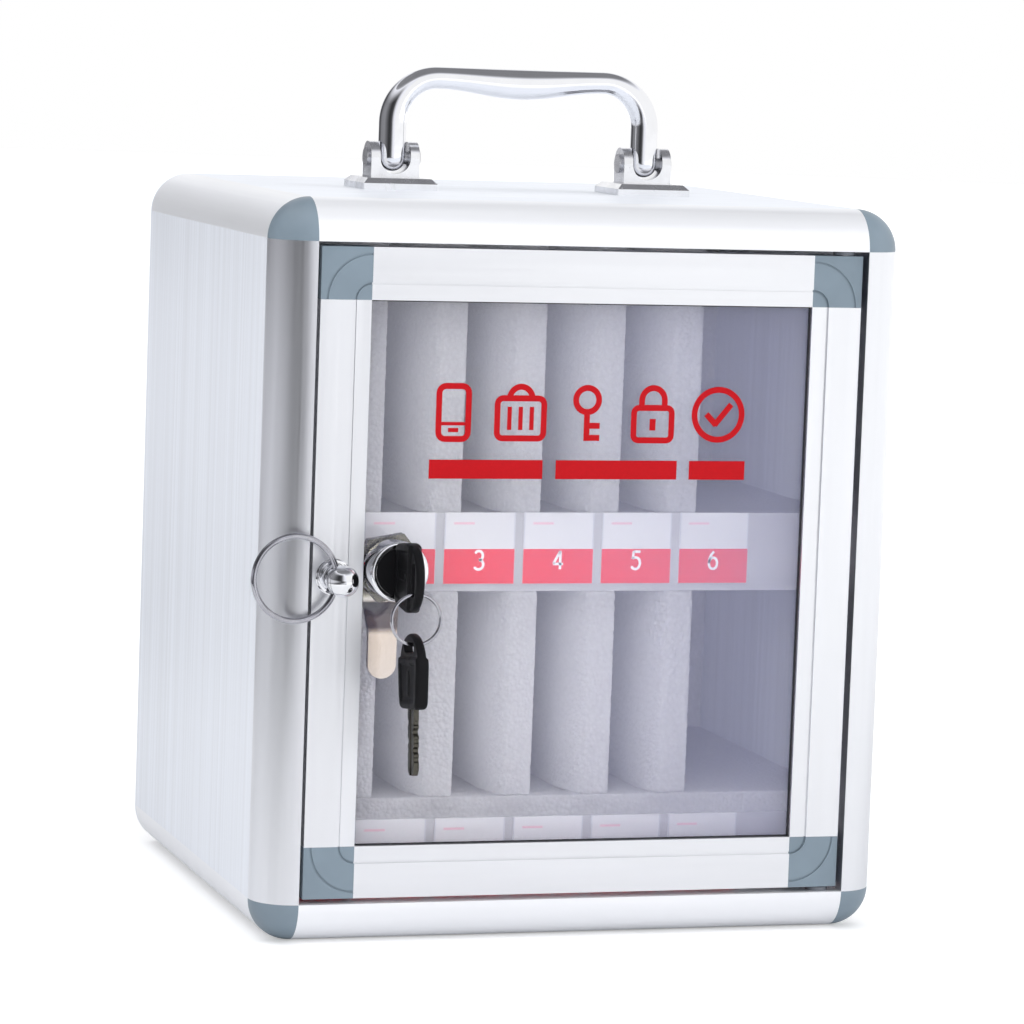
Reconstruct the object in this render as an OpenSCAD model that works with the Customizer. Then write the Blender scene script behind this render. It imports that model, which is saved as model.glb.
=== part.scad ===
// Table-top locker box for cell phones: an aluminium-edged case with two rows of foam
// bays behind a framed clear door with a cam lock, a pull knob with a wire ring, two
// keys on a split ring, and a folding carrying handle.
// X runs to the right, Y to the back and Z up. The origin is the centre of the base.

/* [Casing] */
// Width of the casing over its edge profiles
case_w = 250; // [230:1:320]
// Depth of the casing, front to back
case_d = 214; // [200:1:280]
// Height of the casing without the handle
case_h = 281; // [260:1:340]
// Radius of the rounded edge profiles, which is also their width
edge_r = 15.8; // [15:0.2:18]
// Wall of the edge profiles
edge_wall = 1.8; // [1.4:0.1:2.2]
// How far a profile's leg reaches behind a panel
panel_lap = 9; // [6:0.5:12]
// Thickness of the side, top and bottom panels
panel_t = 3; // [2:0.5:4]
// Thickness of the back panel
back_t = 2; // [1.5:0.5:3]
// Length of the corner blocks' spigots in the posts and depth rails
spigot_l = 12; // [8:1:16]
// Length of the corner blocks' spigots in the front rails, beside the hinge bushes
rail_spigot_l = 4.2; // [3:0.1:4.4]
// Width of the left post's fin that the closed door stops against
stop_fin_w = 3; // [2:0.5:4]
// Thickness of that fin
stop_fin_t = 1.3; // [1:0.1:1.6]
// Radius of the screw ports along the depth rails
port_r = 3.2; // [3:0.1:3.6]
// Shank radius of the back panel's screws
back_screw_r = 1.7; // [1.5:0.1:1.9]
// Shank length of the back panel's screws under the head
back_screw_l = 14; // [10:1:20]
// Head radius of the back panel's screws
back_screw_head_r = 3.5; // [3:0.1:4]
// Head height of the back panel's screws
back_screw_head_h = 2; // [1.6:0.1:2.4]

/* [Foam and shelf] */
// Distance from the casing's front plane to the front of the foam
foam_inset = 42; // [38:1:50]
// Number of phone bays in a row
bay_count = 6; // [5:1:6]
// Width of a phone bay
bay_w = 14.6; // [13:0.2:16]
// Width of a foam rib between two bays
rib_w = 17.4; // [15:0.2:19]
// Width of the foam rib at the left wall
end_rib_w = 17.7; // [15:0.2:20]
// Depth of the foam slab behind the bays
foam_back_t = 14; // [10:1:20]
// Thickness of the lower row's foam floor
lower_floor_t = 43.7; // [38:0.1:48]
// Height of the lower bays
lower_bay_h = 80.5; // [75:0.5:86]
// Thickness of the shelf under the upper row
shelf_t = 3; // [2:0.5:4]
// Thickness of the upper row's foam floor
upper_floor_t = 27; // [24:0.5:27.5]
// Clear height over the upper row's foam
foam_head_gap = 17; // [16:0.5:22]
// Height of the upper label strip
upper_strip_h = 27.8; // [24:0.2:30]
// Height of the lower label strip
lower_strip_h = 24.4; // [20:0.2:28]
// Thickness of a label strip
strip_t = 0.8; // [0.5:0.1:1.2]
// Width of a label card
card_w = 28.6; // [26:0.2:30]
// Thickness of a label card
card_t = 0.3; // [0.2:0.1:0.5]

/* [Door] */
// Gap between the door and the profiles round it
door_gap = 1.8; // [1.6:0.1:2.4]
// How far the door's face lies behind the casing's front plane
door_recess = 1.9; // [1:0.1:2.4]
// Thickness of the door's frame
door_t = 12; // [11.5:0.1:12.2]
// Width of the door's frame
frame_w = 19.8; // [19:0.1:20.4]
// Wall of the door's frame
frame_wall = 1.8; // [1.4:0.1:2]
// Depth of the glazing groove in the frame, from the frame's inner edge
rebate_w = 5.5; // [5:0.1:6]
// Thickness of the frame's lip in front of the pane
lip_t = 2.4; // [2:0.1:2.6]
// Width of the frame's lowered inner band
band_w = 6.2; // [5.8:0.1:6.6]
// How far that band lies below the frame's face
band_d = 0.5; // [0.3:0.1:0.7]
// Width of the line cut along that band
line_w = 0.8; // [0.6:0.1:1]
// How far the frame's rear lip stays back from its inner edge
rear_lip_cut = 2.6; // [2.4:0.1:3]
// Thickness of the pane
pane_t = 3; // [2.5:0.1:3.4]
// How far the pane's edge reaches into the glazing groove
pane_grip = 4.5; // [3.6:0.1:4.7]
// Thickness of the gasket on each side of the pane
gasket_t = 1; // [0.8:0.1:1.2]
// How far the gasket shows past the frame's inner edge
gasket_show = 0.5; // [0.4:0.1:0.8]
// Radius of the large arc engraved on the door's corner pieces
corner_arc_r = 17.6; // [16:0.1:18]
// Depth of the arcs engraved on the door's corner pieces
corner_arc_d = 0.5; // [0.3:0.1:0.7]
// Length of the corner pieces' spigots in the frame
corner_spigot_l = 14; // [10:1:18]

/* [Hinge] */
// Distance from the door's right edge to the hinge pins
hinge_in = 6.4; // [6.2:0.1:7]
// Distance from the door's face to the hinge pins
hinge_back = 4.1; // [4:0.1:4.4]
// Radius of the hinge pins
hinge_pin_r = 2; // [1.6:0.1:2.1]
// Depth of the pins' bores in the door's corner pieces
hinge_bore_l = 12; // [10:0.5:14]
// Length of the hinge bushes in the front rails
bush_l = 4.4; // [4:0.1:4.6]
// Radius of the hinge bushes
bush_r = 3.2; // [3:0.1:3.3]
// Radius of the hinge bushes' flanges
bush_flange_r = 4.2; // [4:0.1:4.5]

/* [Lock] */
// Gap between the lock's head and the gasket
lock_gap = 0.2; // [0.2:0.1:3]
// Height of the lock's axis over the casing's middle
lock_rise = 2; // [0:0.5:6]
// Radius of the lock's head
lock_head_r = 11.4; // [11:0.1:11.7]
// How far the lock's head stands out from the pane
lock_head_l = 10.7; // [9:0.1:12]
// Radius of the lock's threaded body
lock_body_r = 9.4; // [9:0.1:9.6]
// Length of the lock's body behind the pane's front face
lock_body_l = 15.5; // [15:0.1:16]
// Radius of the lock's plug
plug_r = 7.5; // [7:0.1:7.8]
// Radius of the black face on the plug
face_r = 8.9; // [8.6:0.1:9.2]
// Thickness of the black face on the plug
face_t = 1.2; // [1:0.1:1.5]
// Width across the flats of the lock's nut
nut_flats = 24; // [23:0.1:24.4]
// Thickness of the lock's nut
nut_t = 4.5; // [4:0.1:5]
// Turn of the lock's nut as it was tightened
nut_turn = 20; // [10:1:25]
// Thickness of the cam
cam_t = 2; // [1.5:0.1:2.2]
// Reach of the cam's tip from the lock's axis
cam_reach = 43.3; // [40:0.1:44]
// Width of the cam's plate
cam_w = 14; // [13:0.1:15]
// Width of the cam's tongue
cam_tongue_w = 11.2; // [10:0.1:12]
// Distance from the lock's axis to the cam's bend
cam_bend = 14.5; // [14:0.1:15.5]
// Length of the cam's sloping part
cam_slope_l = 11; // [10:0.5:12]
// How far the cam's tongue is cranked forward
cam_crank = 4.2; // [3.6:0.1:4.2]
// Width across the square tail of the plug
tail_w = 7; // [6.5:0.1:7.5]
// Radius of the cam screw's head
cam_screw_head_r = 5; // [4.5:0.1:5.5]
// Height of the cam screw's head
cam_screw_head_h = 2.6; // [2:0.1:3]
// Shank radius of the cam screw
cam_screw_r = 2; // [1.8:0.1:2.2]

/* [Keys] */
// Width of a key's head at its widest
key_head_w = 26; // [24:0.5:27]
// Width of a key's head at its shoulder
key_shoulder_w = 22.4; // [20:0.2:24]
// Length of a key's head
key_head_l = 28; // [27:0.5:29]
// Thickness of a key's head
key_head_t = 5; // [4.4:0.1:5.6]
// Thickness of the thinner end of a key's head
key_eye_t = 3.4; // [3:0.1:3.6]
// Length of the thinner end of a key's head
key_eye_l = 9; // [8.6:0.1:10]
// Length of the slot in a key's head
key_slot_l = 12.5; // [12:0.1:13]
// Width of the slot in a key's head
key_slot_w = 4; // [3.8:0.1:4.2]
// Distance from the slot's middle to the head's outer end
key_slot_in = 5.2; // [5:0.1:5.4]
// Length of a key's blade
blade_l = 24.5; // [22:0.5:24.5]
// Width of a key's blade
blade_w = 8; // [7:0.1:8.4]
// Thickness of a key's blade
blade_t = 2; // [1.6:0.1:2.2]
// Gap between the lock's face and the inserted key's head
key_stand_off = 1; // [0.6:0.1:1.5]
// Outer diameter of the key ring
key_ring_d = 20; // [19.8:0.1:20.4]
// Wire diameter of the key ring
key_ring_wire = 1.2; // [1:0.1:1.3]
// How far the hanging key leans forward, in degrees
key_lean = 7; // [4:0.5:9]

/* [Pull knob] */
// Distance from the door's left edge to the knob
knob_in = 8.1; // [7.8:0.1:8.6]
// Height of the knob over the casing's middle
knob_rise = -0.5; // [-3:0.5:3]
// Radius of the knob's flange
knob_flange_r = 6.4; // [6:0.1:7]
// Thickness of the knob's flange
knob_flange_t = 1.8; // [1.4:0.1:2.2]
// Radius of the knob's neck
knob_neck_r = 4; // [3.8:0.1:4.4]
// Radius of the knob's ball
knob_ball_r = 6; // [5.6:0.1:6.4]
// Distance from the door's face to the ball's middle
knob_ball_out = 14; // [13.6:0.1:15]
// Distance from the door's face to the hole in the knob's neck
knob_hole_out = 5.2; // [5:0.1:5.6]
// Radius of the hole in the knob's neck
knob_hole_r = 1.9; // [1.8:0.05:2]
// Outer diameter of the pull ring
pull_ring_d = 34; // [32:0.5:36]
// Wire diameter of the pull ring
pull_ring_wire = 2.2; // [2:0.1:2.3]
// Shank radius of the knob's screw
knob_screw_r = 2; // [1.6:0.1:2.2]
// Head radius of the knob's screw
knob_screw_head_r = 3.5; // [3.2:0.1:4]
// Head height of the knob's screw
knob_screw_head_h = 1.6; // [1.4:0.1:1.8]

/* [Handle] */
// Distance between the two legs of the bail
bail_span = 105; // [90:1:130]
// Height of the bail's pivots over the top panel
pivot_rise = 12.2; // [11.8:0.1:13]
// Height of the bail's bends over the pivots, on their axis
grip_rise = 31.5; // [30:0.5:45]
// Radius of the bail's legs at the pivots
leg_r = 5.5; // [5.2:0.1:5.7]
// Radius of the bail's bends
bend_r = 4.8; // [4.6:0.1:5.2]
// Radius of the grip in its middle
grip_r = 6; // [5.6:0.1:6.6]
// Radius along the axis of the bail's bends
bend_axis_r = 18; // [15:0.5:20]
// Width of a bracket's foot along X
foot_w = 30; // [28:0.5:34]
// Depth of a bracket's foot along Y
foot_d = 30; // [26:0.5:34]
// Height of a bracket's foot
foot_h = 4.5; // [4:0.1:5]
// Chamfer round a bracket's foot
foot_chamfer = 2; // [1:0.1:2.5]
// Thickness of a bracket's ear
ear_t = 3.7; // [3:0.1:4.2]
// Gap between a bracket's ears
ear_gap = 12.4; // [12:0.1:13]
// Radius of the rounded top of a bracket's ear
ear_r = 6.4; // [6:0.1:7]
// Radius of the bail's pivot pins
bail_pin_r = 2.5; // [2:0.1:2.8]
// Radius of the pivot pins' riveted heads
rivet_r = 3.8; // [3.4:0.1:4.2]
// Thickness of the pivot pins' riveted heads
rivet_t = 1; // [0.8:0.1:1.2]
// Distance from a bracket's middle to its screws
foot_screw_off = 10.5; // [10:0.1:11]
// Shank radius of the bracket screws
foot_screw_r = 1.8; // [1.5:0.1:2]
// Head radius of the bracket screws
foot_screw_head_r = 3.4; // [3:0.1:3.8]
// Head height of the bracket screws
foot_screw_head_h = 2.2; // [1.8:0.1:2.6]
// How far the bracket screws reach into the foot
foot_screw_bite = 3.4; // [3:0.1:3.6]

/* [Clearances] */
// Radial clearance of a pin that turns in its bore
run_fit = 0.05; // [0.03:0.01:0.08]
// Clearance between two pieces fixed together
seat_fit = 0.1; // [0.05:0.01:0.15]
// Clearance between two pieces that move past each other
move_gap = 0.3; // [0.25:0.05:0.4]

/* [Hidden] */

$fn = 64;
eps = 0.01;
silver = [0.82, 0.83, 0.86];
panel_grey = [0.80, 0.82, 0.86];
block_grey = [0.52, 0.58, 0.63];
chrome = [0.88, 0.89, 0.92];
black = [0.06, 0.06, 0.07];
foam_white = [0.88, 0.89, 0.93];
strip_white = [0.86, 0.88, 0.92];
steel = [0.72, 0.73, 0.75];
zinc_yellow = [0.80, 0.74, 0.60];
glass_tint = [0.75, 0.80, 0.86, 0.35];

front_y = -case_d/2;
rear_y = case_d/2 - back_t;
open_x = case_w/2 - edge_r;
open_top = case_h - edge_r;
arc_y = front_y + edge_r;
port_at = edge_wall + port_r - 0.5;
chamber_r = edge_r - edge_wall;

inner_x = case_w/2 - panel_t - edge_wall - 0.2;
foam_y = front_y + foam_inset;
foam_foot = panel_t + edge_wall;
strip_foot = edge_r + 0.2;
lower_floor = foam_foot + lower_floor_t;
shelf_z = lower_floor + lower_bay_h;
upper_foot = shelf_z + shelf_t;
upper_floor = upper_foot + upper_floor_t;
foam_top = case_h - foam_head_gap;
bay_pitch = bay_w + rib_w;
bay_y1 = rear_y - foam_back_t;
first_bay_x = -inner_x + end_rib_w + bay_w/2;

door_x = open_x - door_gap;
door_z0 = edge_r + door_gap;
door_z1 = open_top - door_gap;
door_y = front_y + door_recess;
view_x = door_x - frame_w;
groove_t = pane_t + 2*gasket_t;
pane_y = door_y + lip_t + gasket_t;
pane_back = pane_y + pane_t;

hinge_x = door_x - hinge_in;
hinge_y = door_y + hinge_back;
bush_flange_t = door_gap - move_gap;

lock_x = -view_x + gasket_show + lock_gap + lock_head_r;
lock_z = case_h/2 + lock_rise;
lock_back = pane_y + lock_body_l;
lock_front = pane_y - lock_head_l;
face_front = lock_front + 0.2;
plug_front = face_front + face_t;
tongue_y = lock_back - cam_crank;
tail_end = lock_back + cam_t - 0.2;
key_shoulder_y = face_front - key_stand_off;
blade_tip_y = key_shoulder_y + blade_l;

slot_y = key_shoulder_y - key_head_l + key_slot_in;
head_round_r = key_head_w/2;
head_round_at = key_head_l - head_round_r;
slot_at = key_head_l - key_slot_in;
edge_at_slot = sqrt(pow(head_round_r, 2) - pow(slot_at - head_round_at, 2));
strip_mid = (key_slot_l/2 + edge_at_slot)/2;
strip_half = (edge_at_slot - key_slot_l/2)/2;
ring_in_r = key_ring_d/2 - key_ring_wire;
ring_axis_r = (key_ring_d - key_ring_wire)/2;
strip_drop = sqrt(pow(ring_in_r - move_gap, 2) - pow(key_eye_t/2, 2)) - strip_half;
ring_pivot_drop = 1.5;
ring_z = lock_z - strip_mid - strip_drop;
ring_pivot_z = lock_z - strip_mid - ring_pivot_drop;
hang_z = ring_z - ring_axis_r;
wire_rise = ring_axis_r - sqrt(pow(ring_in_r, 2) - pow(key_eye_t/2, 2));
hang_top = wire_rise + move_gap;
lean_shift = 21.7*tan(key_lean);

knob_x = -door_x + knob_in;
knob_z = case_h/2 + knob_rise;
pull_ring_y = door_y - knob_hole_out;
pull_axis_r = (pull_ring_d - pull_ring_wire)/2;

bail_x = bail_span/2;
pivot_z = case_h + pivot_rise;
ear_out = ear_gap/2 + ear_t;

// Left or right copy of a piece drawn for the right side
module to_side(side) {
    if (side < 0) mirror([1, 0, 0]) children();
    else children();
}

// Lower or upper copy of a piece drawn for the upper side
module to_level(up) {
    if (up < 0) mirror([0, 0, 1]) children();
    else children();
}

// Cylinder along Y from y0 to y1
module rod_y(r, y0, y1) {
    translate([0, y1, 0]) rotate([90, 0, 0]) cylinder(r = r, h = y1 - y0);
}

// Cylinder along X, centred
module rod_x(r, l) {
    rotate([0, 90, 0]) cylinder(r = r, h = l, center = true);
}

// Box from one corner to the other
module block(a, b) {
    translate(a) cube(b - a);
}

// Edge profiles: each section is drawn with its arc's centre at the origin
module quarter(r) {
    intersection() {
        circle(r = r, $fn = 96);
        square(r + 1);
    }
}

module edge_section(port = false) {
    difference() {
        quarter(edge_r);
        difference() {
            intersection() {
                quarter(chamber_r);
                translate([edge_wall, edge_wall]) square(edge_r);
            }
            if (port) translate([port_at, port_at]) circle(r = port_r);
        }
        if (port) translate([port_at, port_at]) circle(r = back_screw_r + seat_fit);
    }
}

module leg_section() {
    translate([edge_r - panel_t - edge_wall, -panel_lap]) square([edge_wall, panel_lap + edge_wall]);
}

module side_leg_section() {
    translate([-panel_lap, edge_r - panel_t - edge_wall]) square([panel_lap + edge_wall, edge_wall]);
}

module front_profile(l) {
    linear_extrude(l) edge_section();
    translate([0, 0, panel_lap]) linear_extrude(l - 2*panel_lap) leg_section();
}

module front_post(side) {
    color(silver) to_side(side) {
        translate([open_x, arc_y, edge_r]) mirror([0, 1, 0]) front_profile(case_h - 2*edge_r);
        if (side < 0)
            block([open_x - stop_fin_w, arc_y - stop_fin_t, edge_r + edge_wall],
                  [open_x + eps, arc_y, open_top - edge_wall]);
    }
}

module front_rail(up) {
    color(silver) translate([0, 0, case_h/2]) to_level(up) difference() {
        translate([-open_x, arc_y, case_h/2 - edge_r])
            rotate(a = 180, v = [1, 0, 1]) front_profile(2*open_x);
        translate([hinge_x, hinge_y, case_h/2 - edge_r - 1])
            cylinder(r = bush_r + seat_fit, h = edge_wall + 2);
    }
}

module depth_rail(side, up) {
    color(silver) translate([0, 0, case_h/2]) to_side(side) to_level(up)
        translate([open_x, rear_y, case_h/2 - edge_r]) rotate([90, 0, 0])
        linear_extrude(rear_y - arc_y) {
            edge_section(port = true);
            leg_section();
            side_leg_section();
        }
}

module spigot_section() {
    intersection() {
        quarter(chamber_r - seat_fit);
        translate([edge_wall + seat_fit, edge_wall + seat_fit]) square(edge_r);
    }
}

module corner_block(side, up) {
    color(block_grey) translate([0, 0, case_h/2]) to_side(side) to_level(up)
        translate([open_x, arc_y, case_h/2 - edge_r]) mirror([0, 1, 0]) {
            intersection() {
                sphere(r = edge_r, $fn = 96);
                cube(edge_r + 1);
            }
            translate([0, 0, -spigot_l]) linear_extrude(spigot_l + 1) spigot_section();
            translate([-rail_spigot_l, 0, 0]) rotate([90, 0, 90])
                linear_extrude(rail_spigot_l + 1) spigot_section();
            translate([0, 1, 0]) rotate([90, 0, 0]) linear_extrude(spigot_l + 1) difference() {
                spigot_section();
                translate([port_at, port_at]) circle(r = port_r + seat_fit);
            }
        }
}

// Flat panels
module side_panel(side) {
    color(panel_grey) to_side(side)
        block([case_w/2 - panel_t, arc_y, edge_r], [case_w/2, rear_y, open_top]);
}

module top_panel() {
    color(panel_grey) difference() {
        block([-open_x, arc_y, case_h - panel_t], [open_x, rear_y, case_h]);
        at_foot_screws() translate([0, 0, -panel_t - 1])
            cylinder(r = foot_screw_r + seat_fit, h = panel_t + 2);
    }
}

module bottom_panel() {
    color(panel_grey) block([-open_x, arc_y, 0], [open_x, rear_y, panel_t]);
}

module at_back_screws() {
    for (side = [-1, 1], up = [-1, 1])
        translate([side*(open_x + port_at), rear_y, case_h/2 + up*(case_h/2 - edge_r + port_at)])
            children();
}

module back_panel() {
    color(panel_grey) difference() {
        translate([0, rear_y + back_t, case_h/2]) rotate([90, 0, 0]) linear_extrude(back_t) {
            square([2*open_x, case_h], center = true);
            square([case_w, case_h - 2*edge_r], center = true);
            for (side = [-1, 1], up = [-1, 1])
                translate([side*open_x, up*(case_h/2 - edge_r)]) circle(r = edge_r, $fn = 96);
        }
        at_back_screws() rod_y(back_screw_r + seat_fit, -1, back_t + 1);
    }
}

module back_screws() {
    color(steel) at_back_screws() {
        rod_y(back_screw_r, back_t - back_screw_l, back_t + eps);
        rod_y(back_screw_head_r, back_t, back_t + back_screw_head_h);
    }
}

// Foam, shelf and labels
module foam_base_lower() {
    color(foam_white) {
        block([-open_x, foam_y, foam_foot], [open_x, rear_y, edge_r + 1]);
        block([-inner_x, foam_y, strip_foot], [inner_x, rear_y, lower_floor]);
        block([-inner_x, bay_y1, lower_floor - 1], [inner_x, rear_y, shelf_z]);
    }
}

module foam_base_upper() {
    color(foam_white) {
        block([-inner_x, foam_y, upper_foot], [inner_x, rear_y, upper_floor]);
        block([-inner_x, bay_y1, upper_floor - 1], [inner_x, rear_y, foam_top]);
    }
}

module foam_ribs(z0, z1) {
    color(foam_white) for (k = [0 : bay_count - 1])
        let (x1 = -inner_x + end_rib_w + k*bay_pitch, w = k == 0 ? end_rib_w : rib_w)
            block([x1 - w, foam_y, z0], [x1, bay_y1, z1]);
}

module shelf() {
    color(strip_white) block([-inner_x, foam_y, shelf_z], [inner_x, rear_y, upper_foot]);
}

module label_strip(z, h) {
    color(strip_white) block([-inner_x, foam_y - strip_t, z], [inner_x, foam_y, z + h]);
}

module label_cards() {
    color("white") for (k = [0 : bay_count - 1]) let (x = first_bay_x + k*bay_pitch) {
        block([x - card_w/2, foam_y - strip_t - card_t, strip_foot],
              [x + card_w/2, foam_y - strip_t, strip_foot + lower_strip_h]);
        block([x - card_w/2, foam_y - strip_t - card_t, upper_foot],
              [x + card_w/2, foam_y - strip_t, upper_foot + upper_strip_h]);
    }
}

// Door frame: a section's first axis runs from the door's outer edge inwards, the second
// from its face backwards
module frame_section() {
    difference() {
        square([frame_w, door_t]);
        translate([frame_wall, frame_wall])
            square([frame_w - rebate_w - 2*frame_wall, door_t - 2*frame_wall]);
        translate([frame_w - rebate_w, lip_t]) square([rebate_w + 1, groove_t]);
        translate([frame_w - rear_lip_cut, lip_t]) square([rear_lip_cut + 1, door_t]);
        translate([frame_w - rebate_w + frame_wall, lip_t + groove_t + frame_wall])
            square([rebate_w, door_t]);
        translate([frame_w - band_w, -1]) square([band_w + 1, 1 + band_d]);
        translate([frame_w - band_w - line_w/2, -1]) square([line_w, 1 + 2*band_d]);
    }
}

module door_stile(side) {
    color(silver) difference() {
        to_side(side) translate([door_x, door_y, door_z0 + frame_w])
            mirror([1, 0, 0]) linear_extrude(door_z1 - door_z0 - 2*frame_w) frame_section();
        if (side < 0)
            translate([knob_x, door_y, knob_z]) rod_y(knob_screw_r + seat_fit, -1, door_t + 1);
    }
}

module door_rail(up) {
    color(silver) translate([0, 0, case_h/2]) to_level(up)
        translate([-view_x, door_y, door_z1 - case_h/2]) rotate([0, 90, 0])
        linear_extrude(2*view_x) frame_section();
}

module corner_spigot() {
    translate([frame_wall + seat_fit, frame_wall + seat_fit, -corner_spigot_l])
        cube([frame_w - rebate_w - 2*frame_wall - 2*seat_fit,
              door_t - 2*frame_wall - 2*seat_fit, corner_spigot_l + 1]);
}

// Flat disc on the door's face, round the inner corner of a corner piece
module face_disc(r, d) {
    translate([frame_w, 0, -frame_w]) rod_y(r, -1, d);
}

// Corner piece drawn with the door's outer corner at the origin: X inwards, Z down to -frame_w
module corner_piece(bored) {
    difference() {
        union() {
            block([0, 0, -frame_w], [frame_w, door_t, 0]);
            translate([0, 0, -frame_w]) corner_spigot();
            translate([frame_w, 0, 0]) rotate([0, 90, 0]) mirror([0, 0, 1]) corner_spigot();
        }
        block([frame_w - rebate_w, lip_t, -frame_w - 1],
              [frame_w + 1, lip_t + groove_t, rebate_w - frame_w]);
        block([frame_w - rear_lip_cut, lip_t, -frame_w - 1],
              [frame_w + 1, door_t + 1, rear_lip_cut - frame_w]);
        difference() {
            face_disc(corner_arc_r, corner_arc_d);
            face_disc(corner_arc_r - line_w, corner_arc_d + 1);
        }
        difference() {
            face_disc(band_w + line_w/2, corner_arc_d + band_d);
            face_disc(band_w - line_w/2, corner_arc_d + band_d + 1);
        }
        face_disc(band_w, band_d);
        if (bored)
            translate([hinge_in, hinge_back, -hinge_bore_l])
                cylinder(r = hinge_pin_r + run_fit, h = hinge_bore_l + 1);
    }
}

module door_corner(side, up) {
    color(block_grey) translate([0, 0, case_h/2]) to_side(side) to_level(up)
        translate([door_x, door_y, door_z1 - case_h/2]) mirror([1, 0, 0])
        corner_piece(bored = side > 0);
}

module pane() {
    color(glass_tint) difference() {
        block([-view_x - pane_grip, pane_y, door_z0 + frame_w - pane_grip],
              [view_x + pane_grip, pane_back, door_z1 - frame_w + pane_grip]);
        translate([lock_x, 0, lock_z]) rod_y(lock_body_r + 2*seat_fit, pane_y - 1, pane_back + 1);
    }
}

// Upright frame: the part of a plate that lies between two rectangles round the pane
module pane_frame(y0, y1, reach, show) {
    difference() {
        block([-view_x - reach, y0, door_z0 + frame_w - reach],
              [view_x + reach, y1, door_z1 - frame_w + reach]);
        block([-view_x + show, y0 - 1, door_z0 + frame_w + show],
              [view_x - show, y1 + 1, door_z1 - frame_w - show]);
    }
}

module gasket() {
    color(black) {
        pane_frame(door_y + lip_t + eps, pane_y - eps, rebate_w - seat_fit, gasket_show);
        pane_frame(pane_y - 2*eps, pane_back + 2*eps, rebate_w - seat_fit,
                   -pane_grip - seat_fit);
        pane_frame(pane_back + eps, pane_back + gasket_t - eps, rebate_w - seat_fit,
                   -rear_lip_cut);
    }
}

// Hinge: pins fixed in bushes in the front rails turn in the door's corner pieces
module at_hinge() {
    for (up = [-1, 1])
        translate([hinge_x, hinge_y, case_h/2]) to_level(up)
            translate([0, 0, case_h/2 - edge_r]) children();
}

module hinge_bushes() {
    color(block_grey) at_hinge() difference() {
        union() {
            cylinder(r = bush_r, h = bush_l);
            translate([0, 0, -bush_flange_t]) cylinder(r = bush_flange_r, h = bush_flange_t);
        }
        translate([0, 0, -door_gap]) cylinder(r = hinge_pin_r + 0.02, h = bush_l + 2*door_gap);
    }
}

module hinge_pins() {
    color(steel) at_hinge() translate([0, 0, 0.5 - door_gap - hinge_bore_l])
        cylinder(r = hinge_pin_r, h = hinge_bore_l + door_gap + bush_l - 0.5);
}

// Pull knob and its ring
module knob() {
    color(chrome) translate([knob_x, door_y, knob_z]) difference() {
        union() {
            rod_y(knob_flange_r, -knob_flange_t, 0);
            rod_y(knob_neck_r, -knob_ball_out, 0);
            translate([0, -knob_ball_out, 0]) sphere(r = knob_ball_r);
        }
        translate([0, -knob_hole_out, 0])
            cylinder(r = knob_hole_r, h = 4*knob_neck_r, center = true);
        rod_y(knob_screw_r + seat_fit, -knob_hole_out + knob_hole_r + 0.6, 1);
    }
}

module knob_screw() {
    color(steel) translate([knob_x, door_y, knob_z]) {
        rod_y(knob_screw_r, -knob_hole_out + knob_hole_r + 0.8, door_t + eps);
        rod_y(knob_screw_head_r, door_t, door_t + knob_screw_head_h);
    }
}

// Wire ring standing in the XZ plane
module wire_ring(axis_r, wire) {
    rotate([90, 0, 0]) rotate_extrude($fn = 96) translate([axis_r, 0]) circle(d = wire, $fn = 32);
}

module pull_ring() {
    color(chrome) translate([knob_x - pull_axis_r, pull_ring_y, knob_z])
        wire_ring(pull_axis_r, pull_ring_wire);
}

// Cam lock, drawn along Y with its axis at the origin
module lock_body() {
    color(chrome) translate([lock_x, 0, lock_z]) difference() {
        union() {
            translate([0, lock_front, 0]) rotate([-90, 0, 0])
                cylinder(r1 = lock_head_r - 1, r2 = lock_head_r, h = 1);
            rod_y(lock_head_r, lock_front + 1, pane_y);
            rod_y(lock_body_r, pane_y - 1, lock_back - move_gap);
        }
        rod_y(plug_r + run_fit, lock_front - 1, lock_back + 1);
        rod_y(face_r + move_gap, lock_front - 1, plug_front);
    }
}

module lock_nut() {
    color(steel) translate([lock_x, 0, lock_z]) difference() {
        rotate([0, nut_turn, 0]) translate([0, pane_back + nut_t, 0]) rotate([90, 30, 0])
            cylinder(d = nut_flats/cos(30), h = nut_t, $fn = 6);
        rod_y(lock_body_r + run_fit, pane_back - 1, pane_back + nut_t + 1);
    }
}

module lock_plug() {
    color(chrome) translate([lock_x, 0, lock_z]) difference() {
        union() {
            rod_y(plug_r, plug_front, lock_back - seat_fit);
            block([-tail_w/2, lock_back - 1, -tail_w/2], [tail_w/2, tail_end, tail_w/2]);
        }
        block([-blade_t/2 - move_gap, plug_front - 1, -blade_w/2 - move_gap],
              [blade_t/2 + move_gap, blade_tip_y + 0.8, blade_w/2 + move_gap]);
        rod_y(cam_screw_r + seat_fit, tail_end - 2*cam_t, tail_end + 1);
    }
}

module lock_face() {
    color(black) translate([lock_x, 0, lock_z]) difference() {
        rod_y(face_r, face_front, plug_front);
        block([-blade_t/2 - 2*move_gap, face_front - 1, -face_r + 1.4],
              [blade_t/2 + 2*move_gap, plug_front + 1, face_r - 1.4]);
    }
}

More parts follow.
